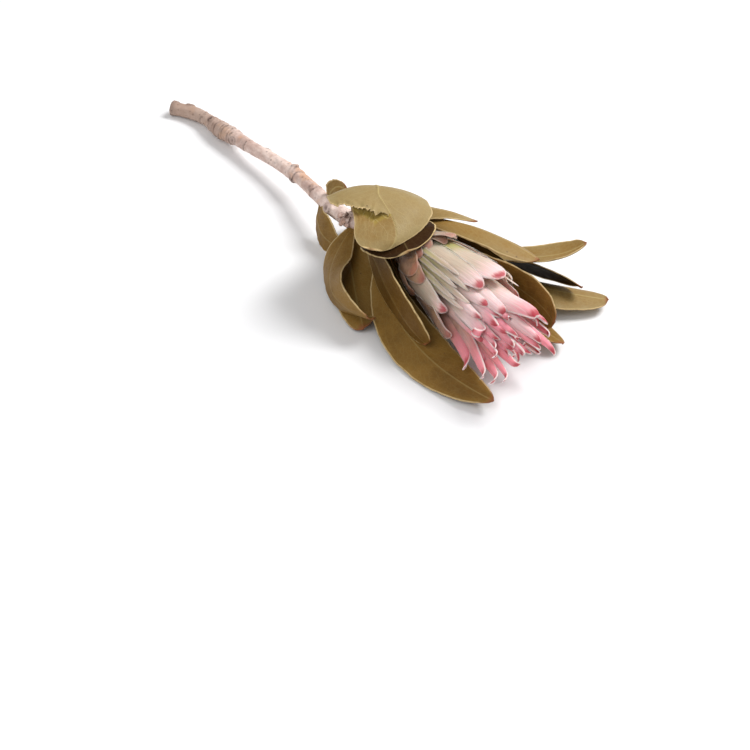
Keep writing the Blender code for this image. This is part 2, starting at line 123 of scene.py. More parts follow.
# The other sides' bracts come from a rule, which leaves out those that would fall on the side that is seen.
SEEN_MIDDLE, SEEN_SPREAD = -34.0, 100.0
BRACTS_BY_RULE = 46
BRACT_TURN = 137.5
BRACT_SEED = 11
SHAPE_SEEDS, TONE_SEEDS = 2000, 1000
BRACT_LENGTHS = ((0.0, 27.0), (0.12, 34.0), (0.3, 60.0), (0.5, 78.0), (0.75, 92.0), (0.9, 98.0), (1.0, 95.0))
BRACT_WIDTHS = ((0.0, 10.0), (0.2, 13.5), (0.5, 11.0), (0.8, 8.5), (1.0, 7.5))

# Every bract: layers by the distance of the tips, and how deep in the bloom a bract runs by that distance
BRACT_LAYERS = {"bracts_outer": (0, 62), "bracts_middle": (62, 92), "bracts_inner": (92, 200)}
BRACT_DEPTHS = ((25.0, 0.0), (36.0, 0.1), (60.0, 0.26), (80.0, 0.48), (100.0, 0.8), (117.0, 0.95))
BRACT_LIFT, BRACT_LIFTED = 32.0, (60.0, 85.0)  # roll of the long low ones in degrees, and from where to where
BRACT_FOOT = 0.55  # width at the base, as a share of the full width
BRACT_START, BRACT_START_IN = 3.0, 13.0  # where the outermost and the innermost grow from the base
BRACT_SINK = 1.6  # how deep their roots are in it
BRACT_OPENING = 14.0  # distance in which they reach their full distance from the axis
BRACT_HOLLOW = 0.35  # how much more than the outermost the innermost are bowed across
BRACT_ROWS, BRACT_ACROSS, SLIM_ACROSS = 44, 14, 8
BRACT_THICK = 0.5
PATCH_ANGLE, PATCH_SPREAD = 8, 12  # green patch at the foot of the broad bract on top

# Pieces that only the looks have: greenish strips and rolled rosy tongues between the broad bracts, and, last
# among the tongues, two small broad bracts at the bloom's base.
STRIPS_SEEN = (
    (-28, 58, 20.0, 3.0), (-35, 66, 19.4, 3.6), (-42, 60, 19.6, 2.8), (-49, 70, 19.0, 3.8),
    (-56, 63, 19.2, 3.2), (-63, 69, 19.4, 3.2),
)
TONGUES_SEEN = (
    (-30, 84, 15.6, 6.0), (-44, 86, 16.0, 6.0), (-66, 92, 15.4, 6.0), (-62, 101, 12.4, 6.5),
    (-36, 110, 9.0, 6.0), (-54, 108, 9.4, 6.0), (-70, 106, 11.0, 6.0), (-78, 94, 15.8, 6.5),
    (-92, 98, 18.4, 6.5), (-86, 100, 14.0, 6.0), (-102, 94, 22.0, 6.5), (-40, 98, 12.4, 6.5),
    (16, 34, 21.2, 13.5), (-60, 35, 20.0, 15.0),
)
SPIRAL_BRACT = (-72, 81)  # its tip is curled into a ring
SPIRAL_REACH, SPIRAL_WIDTH, SPIRAL_CURL = 92.0, 6.5, 10.0
STRIPS_BY_RULE, STRIP_SEED = 16, 4
STRIP_FIRST, TONGUE_FIRST = 500, 700  # numbers from which they are counted

# Leaves: midrib start, halfway and end, the way the outer face looks halfway, width, widest at, point,
# curl, wave height and count, twist, and how light the leaf is from 0, dark brown, to 1, khaki.
# On leaves that lie in shade a low tone is painted shade, as well as the leaf's own colour.
Leaf = namedtuple("Leaf", "start via end face width widest point curl wave waves twist tone")
LEAVES = {
    "leaf_top_torn": Leaf(
        (-33, 3, 21), (-10.1, -5.3, 52.9), (15.1, -30.2, 42.6), (0.04, 0.1, 1),
        48.5, 0.55, 0.42, -26, 0.8, 1.2, 0, 0.92,
    ),
    "leaf_top_under": Leaf(
        (-9, -2, 26), (7, -9.5, 40), (26.5, -17, 42), (0, -0.2, 0.98),
        37, 0.6, 0.46, -16, 0.8, 1.6, 0, -0.1,
    ),
    "leaf_small_curled": Leaf(
        (-56, 0, 17), (-53, 3, 26), (-45, 4, 28), (0.3, -0.6, 0.6),
        9, 0.5, 0.48, 60, 0.4, 1.0, 0, 0.7,
    ),
    "leaf_stem_left": Leaf(
        (-58, -1, 17), (-48, -11, 10.8), (-31, -10, 6.6), (-0.6, -0.7, 0.3),
        19, 0.5, 0.48, -20, 0.6, 1.5, 0, 0.5,
    ),
    # Its tone of 0.3 is partly the leaf's own golden brown and partly painted shade.
    "leaf_left_flank": Leaf(
        (-21.1, -4.1, 20), (29.4, -27.6, 20), (53.4, -28.2, 10.6), (-0.09, -0.99, 0.09),
        20, 0.44, 0.36, -16, 1, 1.1, 31, 0.3,
    ),
    "leaf_left_rolled": Leaf(
        (-28.8, -4.1, 19.9), (-8.5, -35.5, 12), (25.9, -38.6, 12.7), (0.65, 0.66, -0.37),
        19.5, 0.3, 0.2, 38, 0.6, 1.4, 131, 0.5,
    ),
    "leaf_back_long": Leaf(
        (-17, 2, 27), (-2.7, 13.7, 36.5), (19.9, 30.8, 33.5), (-0.11, 0.21, 0.97),
        19.2, 0.54, 0.57, -27, 0.8, 1.3, -26, 0.8,
    ),
    "leaf_right_high": Leaf(
        (-32, -1, 18.4), (33.1, 34, 18.7), (61.2, 63, 29.7), (-0.17, 0.21, 0.96),
        20.8, 0.73, 0.52, 30, 0.6, 1.1, 24, 0.72,
    ),
    "leaf_right_back": Leaf(
        (-25, 3.5, 20.5), (15.7, 19.1, 36.3), (57.1, 36.4, 29.7), (-0.22, 0.36, 0.91),
        21, 0.84, 0.65, -43, 0.7, 1.2, 11, 0.66,
    ),
    # Painted shade: this leaf's tone of 0, near-black brown, stands for the deep shade it lies in, not its
    # own colour.
    "leaf_right_dark": Leaf(
        (-34, 0.1, 15.1), (20.5, 40.5, 11.2), (70.1, 52.8, 13.4), (0.21, 0.81, 0.54),
        20.2, 0.66, 0.81, -17, 0.9, 1.3, -4, 0,
    ),
    "leaf_right_inner": Leaf(
        (-10.5, 0.4, 26.2), (28.3, 20.9, 30.2), (61.8, 25.8, 20.6), (0, 1, 0.35),
        16, 0.58, 0.48, -34, 0.8, 1.2, 8, 0.3,
    ),
    "leaf_right_flank": Leaf(
        (-19, 0, 20), (44.7, 21.2, 21.1), (85.4, 20.1, 18.2), (0, 1, -0.01),
        24.7, 0.66, 0.43, -12, 1, 1.2, -11, 0.4,
    ),
    "leaf_right_low": Leaf(
        (-26, 0.5, 14), (33.8, 31, 9.3), (77.3, 63.9, 5.1), (0, 0.3, 0.95),
        26.6, 0.6, 0.4, -30, 0.9, 1.2, 26, 0.75,
    ),
    "leaf_under_left": Leaf(
        (-10, -2, 19), (37.6, -27.7, 7.8), (98.3, -27.4, 5.7), (0, -0.3, 0.95),
        25, 0.58, 0.62, -8, 0.4, 1, 0, 0.5,
    ),
    "leaf_under_right": Leaf(
        (-8.5, 3.5, 13.5), (36, 19, 6.8), (88.6, 23.5, 6.2), (0, 0.3, 0.95),
        23, 0.58, 0.48, -8, 0.4, 1, 0, 0.5,
    ),
    "leaf_under_middle": Leaf(
        (-17, -2, 18), (12, -2, 4.5), (52, 3, 2.5), (0, 0, 1),
        24, 0.58, 0.48, -4, 0.2, 1, 0, 0.5,
    ),
    "leaf_back_low": Leaf(
        (-47, -2, 17), (-31.2, 21.6, 8.6), (-3.7, 46.6, 3.6), (0, 0.3, 0.95),
        26, 0.58, 0.48, -14, 0.9, 1.4, 5, 0.6,
    ),
    "leaf_front_low": Leaf(
        (-32, -4, 17), (-13.2, -18.6, 8.7), (19.7, -38, 3.4), (-0.04, -0.36, 0.93),
        22.2, 0.58, 0.42, -14, 0.9, 1.4, -5, 0.55,
    ),
}
# Scales of a broken bud on the stem: start, halfway and end of each.
BUD_SCALES = (
    ((-35.1, -5.2, 22.9), (-36.1, -7.2, 23.6), (-35.7, -8.6, 22.4)),
    ((-34.2, -5.4, 21.2), (-34.8, -7.8, 20.4), (-34.0, -8.4, 18.8)),
    ((-31.4, -5.2, 21.6), (-30.4, -7.4, 21.4), (-29.8, -8.0, 19.9)),
    ((-33.4, -4.8, 23.8), (-33.2, -6.6, 25.2), (-32.4, -8.0, 24.8)),
    ((-31.6, -5.0, 23.0), (-30.6, -6.8, 23.8), (-30.0, -7.8, 22.8)),
    ((-32.8, -5.6, 22.2), (-32.6, -7.8, 22.2), (-32.4, -8.6, 21.0)),
)
SCALE_FACE, SCALE_WIDTH, SCALE_CURL = (0.2, -1, 0.4), 2.8, 60
SCALE_FIRST, SCALE_ROWS, SCALE_ACROSS = 40, 16, 10

LEAF_ROWS, LEAF_ACROSS = 96, 36
LEAF_THICK = 0.5
LEAF_FOOT = 0.2  # width at the base, as a share of the full width
LEAST_BOW = 0.001  # a leaf that isn't curled still gets this, so that its bow has a radius
LEAF_RELIEF = 0.35  # height of the leaf's own unevenness
MARGIN_WAVE = 0.5
NICKS = ((0.35, 16), (0.15, 60))  # depth and fineness of the margin's unevenness
RIB_HEIGHT, RIB_WIDTH = 0.3, 0.7

# Tear in the topmost leaf: its line as (side, share of the length), how ragged it is, how far the flap stands
# up and the part below it sinks, and over what distance. The part below is slimmer. The side beyond the rib
# is wider, and raised clear of the leaf under it.
TORN_LEAF = "leaf_top_torn"
TEAR_LINE = ((-0.34, 0.785), (-0.2, 0.80), (0.0, 0.81), (0.3, 0.79), (0.6, 0.775), (1.0, 0.735))
TEAR_JAG = 0.015
TEAR_OVERLAP = 0.05
TEAR_FLAP, TEAR_SINK, TEAR_REACH = 1.7, 1.6, 5.0
RAW_REACH, RAW_SIDE, RAW_SPREAD = 5.5, 0.05, 0.36  # the bare yellow flesh beside the tear
BELOW_DARKER = 0.16
TORN_SLIMMER, TORN_WIDER, TORN_RAISED = 0.48, 0.17, 2.0
BROAD_LEAF, BROAD_TIP = 30.0, 4.0  # wider ones have hardly any brown at their rounded tips
TORN_ROWS, TORN_ACROSS = 190, 84
TORN_RIB_FROM, TORN_RIB_DRIFT = 0.62, 4.3

# Florets in the middle of the bloom, and the silky hairs between the bracts.
FLORETS = 90
FLORET_SEED = 3
FLORET_LENGTHS = (50.0, 84.0)
FLORET_FROM, FLORET_FOOT, FLORET_SPREAD = 17.5, 5.2, 3.0
FLORET_STEPS, FLORET_SIDES = 12, 6
HAIR_SEED = 5
HAIR_STEPS = 5
HAIRS_MANY, HAIRS_FEW, MANY_BETWEEN = 26, 10, (55, 105)
DARK_SHARE_SLIM, DARK_SHARE, DARK_UP_TO = 0.7, 0.25, 95


def place(x, y, z):
    """A place in millimetres from the surface under the bloom's base, as a vector in metres."""
    return Vector((x + BASE_X, y + BASE_Y, z)) * MM


def smooth_step(low, high, value):
    share = min(1.0, max(0.0, (value - low) / (high - low)))
    return share * share * (3 - 2 * share)


def ramp(pairs, value):
    """Straight-line interpolation through (at, value) pairs."""
    if value <= pairs[0][0]:
        return pairs[0][1]
    for (at, low), (then, high) in zip(pairs, pairs[1:]):
        if value <= then:
            return low + (high - low) * (value - at) / (then - at)
    return pairs[-1][1]


BASE_FULLNESS, TIP_LEFT = 1.3, 0.012


def outline(s, widest, foot, point):
    """Share of the full width at s along a blade: foot at its base, 1 at widest, rounded off to its tip."""
    if s < widest:
        return foot + (1 - foot) * math.sin(math.pi / 2 * s / widest) ** BASE_FULLNESS
    rest = (s - widest) / (1 - widest)
    return max(TIP_LEFT, (1 - rest ** 2) ** point)


def uneven(x, y, z, seed=0.0):
    """Smooth noise from -1 to 1."""
    return noise.noise(Vector((x, y, z + 17.3 * seed)))


def round_noise(at, turn, fineness, seed=0.0):
    """Smooth noise over a round surface, from a place along it and an angle round it."""
    return uneven(at, fineness * math.cos(turn), fineness * math.sin(turn), seed)


def collection(name):
    made = bpy.data.collections.new(name)
    bpy.context.scene.collection.children.link(made)
    return made


def dress(made, finish, slot, *nodes):
    """Gives a piece its finish and hides the CAD nodes that it stands for; slot is not used."""
    made.data.materials.append(finish)
    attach(made, "root")
    if nodes:
        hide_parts(*nodes)
    return made


def mesh_object(name, points, faces, marks, home):
    """A smooth mesh object from an array of points, faces, and marks, which are values at the points."""
    mesh = bpy.data.meshes.new(name)
    mesh.from_pydata(points.tolist(), [], faces)
    for mark, values in marks.items():
        layer = mesh.attributes.new(mark, "FLOAT", "POINT")
        layer.data.foreach_set("value", np.asarray(values, dtype=np.float32).ravel())
    mesh.update()
    mesh.shade_smooth()
    made = bpy.data.objects.new(name, mesh)
    home.objects.link(made)
    return made


def blade_sheet(points, thick, marks, kept=None):
    """(points, faces, marks) of a closed blade round a grid of points; kept says which squares stay."""
    rows, across = points.shape[:2]
    along = np.gradient(points, axis=0)
    sideways = np.gradient(points, axis=1)
    normal = np.cross(sideways, along)
    normal /= np.maximum(np.linalg.norm(normal, axis=2, keepdims=True), 1e-12)
    half = thick[..., None] * normal / 2
    count = rows * across
    index = np.arange(count).reshape(rows, across)
    corners = (index[:-1, :-1], index[:-1, 1:], index[1:, 1:], index[1:, :-1])
    quads = np.stack(corners, axis=-1).reshape(-1, 4)
    if kept is not None:
        quads = quads[kept.ravel()]
    edges = quads[:, [0, 1, 1, 2, 2, 3, 3, 0]].reshape(-1, 2)
    key = edges[:, 0] * count + edges[:, 1]
    rim = edges[~np.isin(key, edges[:, 1] * count + edges[:, 0])]
    rim_quads = np.stack([rim[:, 1], rim[:, 0], rim[:, 0] + count, rim[:, 1] + count], axis=-1)
    faces = np.concatenate([quads, quads[:, ::-1] + count, rim_quads])
    both = np.concatenate([(points + half).reshape(-1, 3), (points - half).reshape(-1, 3)])
    used, faces = np.unique(faces, return_inverse=True)
    found = {mark: np.concatenate([value.ravel(), value.ravel()])[used] for mark, value in marks.items()}
    return both[used], faces.reshape(-1, 4), found


def joined(sheets):
    """One (points, faces, marks) from several."""
    start, all_faces = 0, []
    for points, faces, _ in sheets:
        all_faces.append(faces + start)
        start += len(points)
    marks = {mark: np.concatenate([sheet[2][mark] for sheet in sheets]) for mark in sheets[0][2]}
    return np.concatenate([sheet[0] for sheet in sheets]), np.concatenate(all_faces).tolist(), marks


def tube_quads(rings, sides, clockwise=False):
    """Outward faces of a tube from rings of points, which turn clockwise or not as seen from its end."""
    quads = []
    for j in range(rings - 1):
        for k in range(sides):
            a, b = j * sides + k, j * sides + (k + 1) % sides
            quads.append((b, a, a + sides, b + sides) if clockwise else (a, b, b + sides, a + sides))
    return quads


def closed_tube(name, points, values, sides, home):
    """A bark object from clockwise rings of points, closed at both ends, and each point's BARK_MARKS."""
    faces = tube_quads(len(points) // sides, sides, clockwise=True)
    faces += [tuple(range(sides)), tuple(reversed(range(len(points) - sides, len(points))))]
    marks = dict(zip(BARK_MARKS, zip(*values)))
    return mesh_object(name, np.array([tuple(point) for point in points]), faces, marks, home)


# Shader helpers. Each new node goes into the tree that the given sockets belong to.


def finish_of(name):
    """A new material: (material, its nodes, its Principled BSDF)."""
    made = bpy.data.materials.new(name)
    made.use_nodes = True
    return made, made.node_tree, made.node_tree.nodes["Principled BSDF"]


def link(source, target):
    """Joins a socket, or sets a plain value, at a target socket."""
    if isinstance(source, bpy.types.NodeSocket):
        target.id_data.links.new(source, target)
    else:
        target.default_value = source


def settle(node, **values):
    """Joins or sets several inputs of a node; in their names _ stands for a space."""
    for name, value in values.items():
        link(value, node.inputs[name.replace("_", " ")])


def mark(tree, name):
    """The value that a mesh holds under that name."""
    reader = tree.nodes.new("ShaderNodeAttribute")
    reader.attribute_name = name
    return reader.outputs["Fac"]


def object_place(tree):
    return tree.nodes.new("ShaderNodeTexCoord").outputs["Object"]


def sums(operation, *values):
    """One step of arithmetic on numbers and at least one socket."""
    tree = next(value.id_data for value in values if isinstance(value, bpy.types.NodeSocket))
    step = tree.nodes.new("ShaderNodeMath")
    step.operation = operation
    for value, socket in zip(values, step.inputs):
        link(value, socket)
    return step.outputs["Value"]


def plus(first, second):
    return sums("ADD", first, second)


def minus(first, second):
    return sums("SUBTRACT", first, second)


def times(first, second):
    return sums("MULTIPLY", first, second)


def times_plus(first, second, third):
    return sums("MULTIPLY_ADD", first, second, third)


def between(value, low, high, start=0.0, end=1.0):
    """start where value is low, end where it is high, smooth in between."""
    step = value.id_data.nodes.new("ShaderNodeMapRange")
    step.interpolation_type = "SMOOTHSTEP"
    settle(step, Value=value, From_Min=low, From_Max=high, To_Min=start, To_Max=end)
    return step.outputs["Result"]


MIX_FIRST, MIX_SECOND, MIX_RESULT = 6, 7, 2  # the mix node's sockets for colours


def blend(share, first, second):
    """Colour first where share is 0 and second where it is 1."""
    step = share.id_data.nodes.new("ShaderNodeMix")
    step.data_type = "RGBA"
    settle(step, Factor=share)
    for colour, number in ((first, MIX_FIRST), (second, MIX_SECOND)):
        link(colour if isinstance(colour, bpy.types.NodeSocket) else (*colour, 1.0), step.inputs[number])
    return step.outputs[MIX_RESULT]


def noise_value(where, scale, detail=2.0, rough=0.5):
    step = where.id_data.nodes.new("ShaderNodeTexNoise")
    settle(step, Vector=where, Scale=scale, Detail=detail, Roughness=rough)
    return step.outputs["Fac"]


def joint_vector(x, y, z):
    step = x.id_data.nodes.new("ShaderNodeCombineXYZ")
    settle(step, X=x, Y=y, Z=z)
    return step.outputs["Vector"]


def bump_from(height, shader, strength, distance):
    step = height.id_data.nodes.new("ShaderNodeBump")
    settle(step, Strength=strength, Distance=distance, Height=height)
    link(step.outputs["Normal"], shader.inputs["Normal"])


def group(name, build, **inputs):
    """A shader node group with number inputs and one output, Share, which build(tree, inputs) gives."""
    tree = bpy.data.node_groups.new(name, "ShaderNodeTree")
    for label, value in inputs.items():
        tree.interface.new_socket(label, in_out="INPUT", socket_type="NodeSocketFloat").default_value = value
    tree.interface.new_socket("Share", in_out="OUTPUT", socket_type="NodeSocketFloat")
    source, target = tree.nodes.new("NodeGroupInput"), tree.nodes.new("NodeGroupOutput")
    link(build(tree, source.outputs), target.inputs["Share"])
    return tree


def use(tree, made, **values):
    """Places a group in a material, with values for its inputs, and returns its Share."""
    step = tree.nodes.new("ShaderNodeGroup")
    step.node_tree = made
    settle(step, **values)
    return step.outputs["Share"]


def mottle(tree, inputs):
    """Blotches in two sizes, from 0 to 1."""
    where = object_place(tree)
    large = noise_value(where, inputs["Large"], 3.0, 0.55)
    small = noise_value(where, inputs["Small"], 4.0, 0.65)
    return between(plus(times(large, 0.6), times(small, 0.4)), inputs["Low"], inputs["High"])


def specks(tree, inputs):
    """Small scattered dots: 1 on a dot. Amount is the share of the cells that have one."""
    cells = tree.nodes.new("ShaderNodeTexVoronoi")
    settle(cells, Vector=object_place(tree), Scale=inputs["Scale"])
    dot = between(cells.outputs["Distance"], inputs["Size"], times(inputs["Size"], 0.5))
    tone = tree.nodes.new("ShaderNodeSeparateColor")
    settle(tone, Color=cells.outputs["Color"])
    return times(dot, sums("LESS_THAN", tone.outputs["Red"], inputs["Amount"]))


def vein_net(tree, inputs):
    """A net of fine veins: 1 on a vein."""
    cells = tree.nodes.new("ShaderNodeTexVoronoi")
    cells.feature = "DISTANCE_TO_EDGE"
    settle(cells, Vector=object_place(tree), Scale=inputs["Scale"])
    return between(cells.outputs["Distance"], inputs["Width"], 0.0)


def fibres(tree, inputs):
    """Fine lines that run along a blade, from 0 to 1, others for each value of Blade."""
    along = times(inputs["Along"], inputs["Stretch"])
    across = times(inputs["Across"], inputs["Fineness"])
    return noise_value(joint_vector(along, across, times(inputs["Blade"], 37.0)), 1.0, 3.0, 0.6)


MOTTLE = group("mottle", mottle, Large=40.0, Small=260.0, Low=0.38, High=0.62)
SPECKS = group("specks", specks, Scale=300.0, Size=0.2, Amount=0.2)
NET = group("vein_net", vein_net, Scale=500.0, Width=0.12)
FIBRES = group("fibres", fibres, Along=0.0, Across=0.0, Blade=0.0, Stretch=0.12, Fineness=3.0)


# Colours, linear
KHAKI = (0.315, 0.232, 0.100)
KHAKI_WARM = (0.250, 0.136, 0.027)
GOLDEN_BROWN = (0.125, 0.060, 0.010)
DARK_BROWN = (0.034, 0.014, 0.004)
MARGIN_CREAM = (0.56, 0.41, 0.20)
TIP_ORANGE = (0.25, 0.09, 0.032)
VEIN_PALE = (0.46, 0.36, 0.15)
RAW_YELLOW = (0.30, 0.205, 0.045)
SPECK_BROWN = (0.10, 0.055, 0.02)

SIDE_VEINS, VEIN_SLANT, VEIN_DRIFT = 13.0, -3.6, 1.8  # how many, and how far they slant and stray


def leaf_finish():
    """Dry leathery leaf: khaki to golden brown, a pale rib and margin, faint veins and specks."""
    made, tree, shader = finish_of("dry_leaf")
    names = ("tone", "along", "rib", "margin", "tip", "raw", "across")
    tone, along, rib, margin, tip, raw, across = (mark(tree, name) for name in names)
    where = object_place(tree)
    blotches = use(tree, MOTTLE, Large=28.0, Small=160.0, Low=0.34, High=0.66)

    # Dark brown through golden brown to khaki, by how light it is there; on leaves that lie in shade a low
    # tone is painted shade
    lightness = plus(tone, times(minus(blotches, 0.5), 0.16))
    lightness = plus(lightness, between(margin, 4.0, 0.5, 0.0, 0.08))
    dark = blend(between(lightness, 0.0, 0.35), DARK_BROWN, GOLDEN_BROWN)
    warm = blend(between(lightness, 0.3, 0.62), dark, KHAKI_WARM)
    colour = blend(between(lightness, 0.55, 1.0), warm, KHAKI)
    grain = noise_value(where, 1500.0, 3.0, 0.6)
    colour = blend(between(grain, 0.35, 0.65, 0.0, 0.07), colour, DARK_BROWN)

    # Side veins that slant forward from the rib, a net of fine ones, specks, and the torn leaf's bare flesh
    drift = noise_value(where, 90.0, 1.0)
    run = times_plus(sums("ABSOLUTE", across), VEIN_SLANT, times(along, SIDE_VEINS))
    run = times_plus(drift, VEIN_DRIFT, run)
    off_line = sums("ABSOLUTE", minus(sums("FRACT", run), 0.5))
    side_vein = between(off_line, 0.05, 0.0)
    net = use(tree, NET, Scale=430.0, Width=0.10)
    vein = sums("MAXIMUM", times(side_vein, 0.8), times(net, 0.45))
    fade = between(tone, 0.1, 0.9, 0.04, 0.30)
    colour = blend(times(vein, fade), colour, VEIN_PALE)
    dots = use(tree, SPECKS, Scale=230.0, Size=0.14, Amount=0.10)
    colour = blend(times(dots, 0.7), colour, SPECK_BROWN)
    colour = blend(raw, colour, blend(side_vein, RAW_YELLOW, VEIN_PALE))

    # Rib and margin are pale, the tip is orange
    on_rib = between(rib, RIB_WIDTH * 0.7, RIB_WIDTH * 0.2)
    rib_share = between(tone, 0.2, 1.0, 0.12, 0.65)
    colour = blend(times(on_rib, rib_share), colour, VEIN_PALE)
    edge_colour = blend(between(tip, 7.0, 2.0), MARGIN_CREAM, TIP_ORANGE)
    worn = noise_value(where, 330.0, 2.0)
    on_margin = times(between(margin, 0.8, 0.4), between(worn, 0.3, 0.5, 0.55, 1.0))
    colour = blend(on_margin, colour, edge_colour)
    colour = blend(between(tip, 3.2, 0.8, 0.0, 0.8), colour, TIP_ORANGE)
    settle(shader, Base_Color=colour, Roughness=between(blotches, 0.0, 1.0, 0.60, 0.46))
    settle(shader, Specular_IOR_Level=between(tone, 0.0, 0.8, 0.05, 0.22))
    bump_from(times_plus(grain, 0.2, times(vein, 0.5)), shader, 0.5, 0.00025)
    return made


# Colours of the bracts, linear
CREAM = (0.58, 0.465, 0.355)
GREENISH = (0.36, 0.34, 0.095)
PALE_PINK = (0.92, 0.635, 0.63)
ROSE = (0.88, 0.28, 0.345)
CRIMSON = (0.43, 0.025, 0.05)
TIP_BROWN = (0.33, 0.085, 0.05)
TAN = (0.36, 0.185, 0.08)
TAN_DARK = (0.13, 0.055, 0.026)
SILK = (0.93, 0.77, 0.75)
LINE_BROWN = (0.30, 0.17, 0.14)


def bract_finish():
    """Dry silky bract: cream to pink with a crimson tip, brown on the lowest ones, partly their own tan and
    partly painted shade, fine lines along it.
    """
    made, tree, shader = finish_of("silky_bract")
    names = ("tip", "pink", "tan", "margin", "blade", "green", "long", "wide", "red", "rim")
    tip, pink, tan, margin, blade, green, long, wide, red, rim = (mark(tree, name) for name in names)
    fine = use(tree, FIBRES, Along=long, Across=wide, Blade=blade, Stretch=0.10, Fineness=4.5)
    broad = use(tree, FIBRES, Along=long, Across=wide, Blade=blade, Stretch=0.05, Fineness=1.1)
    blotches = use(tree, MOTTLE, Large=90.0, Small=420.0, Low=0.35, High=0.65)

    # Cream through pink to rose, in streaks, and greenish or brown in places. The brown is partly tan and
    # partly painted shade, and on the low bracts part of the rose is painted shade too.
    streak = minus(broad, 0.5)
    blush = times_plus(streak, 0.5, pink)
    colour = blend(between(blush, 0.05, 0.5), CREAM, PALE_PINK)
    colour = blend(between(blush, 0.5, 1.1), colour, ROSE)
    colour = blend(times_plus(streak, green, green), colour, GREENISH)
    colour = blend(tan, colour, blend(blotches, TAN, TAN_DARK))

    # The tip: a brown lip, and in it a crimson patch with a ragged lower edge
    ragged = times_plus(streak, 4.0, tip)
    lip = times(between(ragged, 6.5, 1.5), times(red, 0.55))
    colour = blend(lip, colour, TIP_BROWN)
    core = times(between(ragged, 5.5, 2.5), red)
    core = times(core, between(margin, 0.2, 1.3, 0.15, 0.95))
    colour = blend(core, colour, CRIMSON)

    # The pale silky rim, and thin brown lines
    edge = times(between(margin, 1.1, 0.35), rim)
    colour = blend(edge, colour, SILK)
    colour = blend(between(fine, 0.40, 0.62, 0.25, 0.0), colour, LINE_BROWN)
    settle(shader, Base_Color=colour, Roughness=between(fine, 0.3, 0.7, 0.62, 0.45), Specular_IOR_Level=0.3)
    settle(shader, Subsurface_Weight=0.3, Subsurface_Radius=(1.0, 0.4, 0.3), Subsurface_Scale=0.002)
    settle(shader, Sheen_Weight=0.1, Sheen_Roughness=0.4)
    bump_from(times_plus(broad, 0.5, times(fine, 0.8)), shader, 0.5, 0.0003)
    return made


# Colours of the bark, linear
BARK_PALE = (0.80, 0.64, 0.57)
BARK_BEIGE = (0.50, 0.335, 0.28)
BARK_ORANGE = (0.70, 0.38, 0.20)
BARK_GREY = (0.42, 0.34, 0.30)
BARK_OLD = (0.37, 0.25, 0.185)
BARK_LINES = (0.30, 0.19, 0.15)
BARK_DOTS = (0.16, 0.09, 0.07)
SCAR_BROWN = (0.085, 0.05, 0.04)
CUT_BROWN = (0.36, 0.19, 0.09)


def bark_finish():
    """Dry bark: pinkish beige with orange and grey patches, dark scars and ring grooves."""
    made, tree, shader = finish_of("dry_bark")
    where = object_place(tree)
    patches = use(tree, MOTTLE, Large=60.0, Small=300.0, Low=0.36, High=0.62)
    orange = use(tree, MOTTLE, Large=52.0, Small=190.0, Low=0.50, High=0.62)
    grey = use(tree, MOTTLE, Large=110.0, Small=420.0, Low=0.54, High=0.66)
    colour = blend(patches, BARK_PALE, BARK_BEIGE)
    colour = blend(times(orange, 0.55), colour, BARK_ORANGE)
    colour = blend(times(grey, 0.45), colour, BARK_GREY)
    colour = blend(times(mark(tree, "old"), 0.75), colour, BARK_OLD)
    run = joint_vector(times(mark(tree, "long"), 0.12), times(mark(tree, "round"), 6.0), 0.0)
    grain = noise_value(run, 1.0, 4.0, 0.65)
    colour = blend(between(grain, 0.55, 0.75, 0.0, 0.45), colour, BARK_LINES)
    dots = use(tree, SPECKS, Scale=430.0, Size=0.34, Amount=0.25)
    colour = blend(times(dots, 0.55), colour, BARK_DOTS)
    colour = blend(mark(tree, "scar"), colour, SCAR_BROWN)
    colour = blend(mark(tree, "cut"), colour, CUT_BROWN)
    settle(shader, Base_Color=colour, Roughness=0.7)
    pores = noise_value(where, 1400.0, 4.0, 0.7)
    bump_from(plus(grain, times(pores, 0.6)), shader, 0.6, 0.0004)
    return made


# Colours of florets and hairs at the root and at the end, linear
FLORET_SILK = ((0.62, 0.52, 0.40), (0.72, 0.42, 0.42))
PALE_HAIR = ((0.74, 0.70, 0.58), (0.86, 0.80, 0.76))
DARK_HAIR = ((0.10, 0.085, 0.08), (0.19, 0.16, 0.15))


def strand_finish(name, root, end):
    """Hairs and florets: one colour at the root and another at the end."""
    made, tree, shader = finish_of(name)
    mottled = use(tree, MOTTLE, Large=150.0, Small=900.0, Low=0.35, High=0.65)
    share = plus(mark(tree, "along"), times(minus(mottled, 0.5), 0.3))
    settle(shader, Base_Color=blend(between(share, 0.1, 0.9), root, end), Roughness=0.6, Sheen_Weight=0.3)
    return made


# Stem


def smooth_route(stations, step):
    """(point, radius) at about every step along a smooth curve through the stations."""
    ends = [stations[0], *stations, stations[-1]]
    found = []
    for i in range(1, len(ends) - 2):
        before, low, high, after = (Vector(ends[i + k][0]) for k in (-1, 0, 1, 2))
        count = max(1, round((high - low).length / step))
        for k in range(count):
            u = k / count
            point = 0.5 * (
                2 * low
                + (high - before) * u
                + (2 * before - 5 * low + 4 * high - after) * u * u
                + (3 * low - before - 3 * high + after) * u ** 3
            )
            radius = ends[i][1] + (ends[i + 1][1] - ends[i][1]) * smooth_step(0, 1, u)
            found.append((point, radius))
    found.append((Vector(stations[-1][0]), stations[-1][1]))
    return found


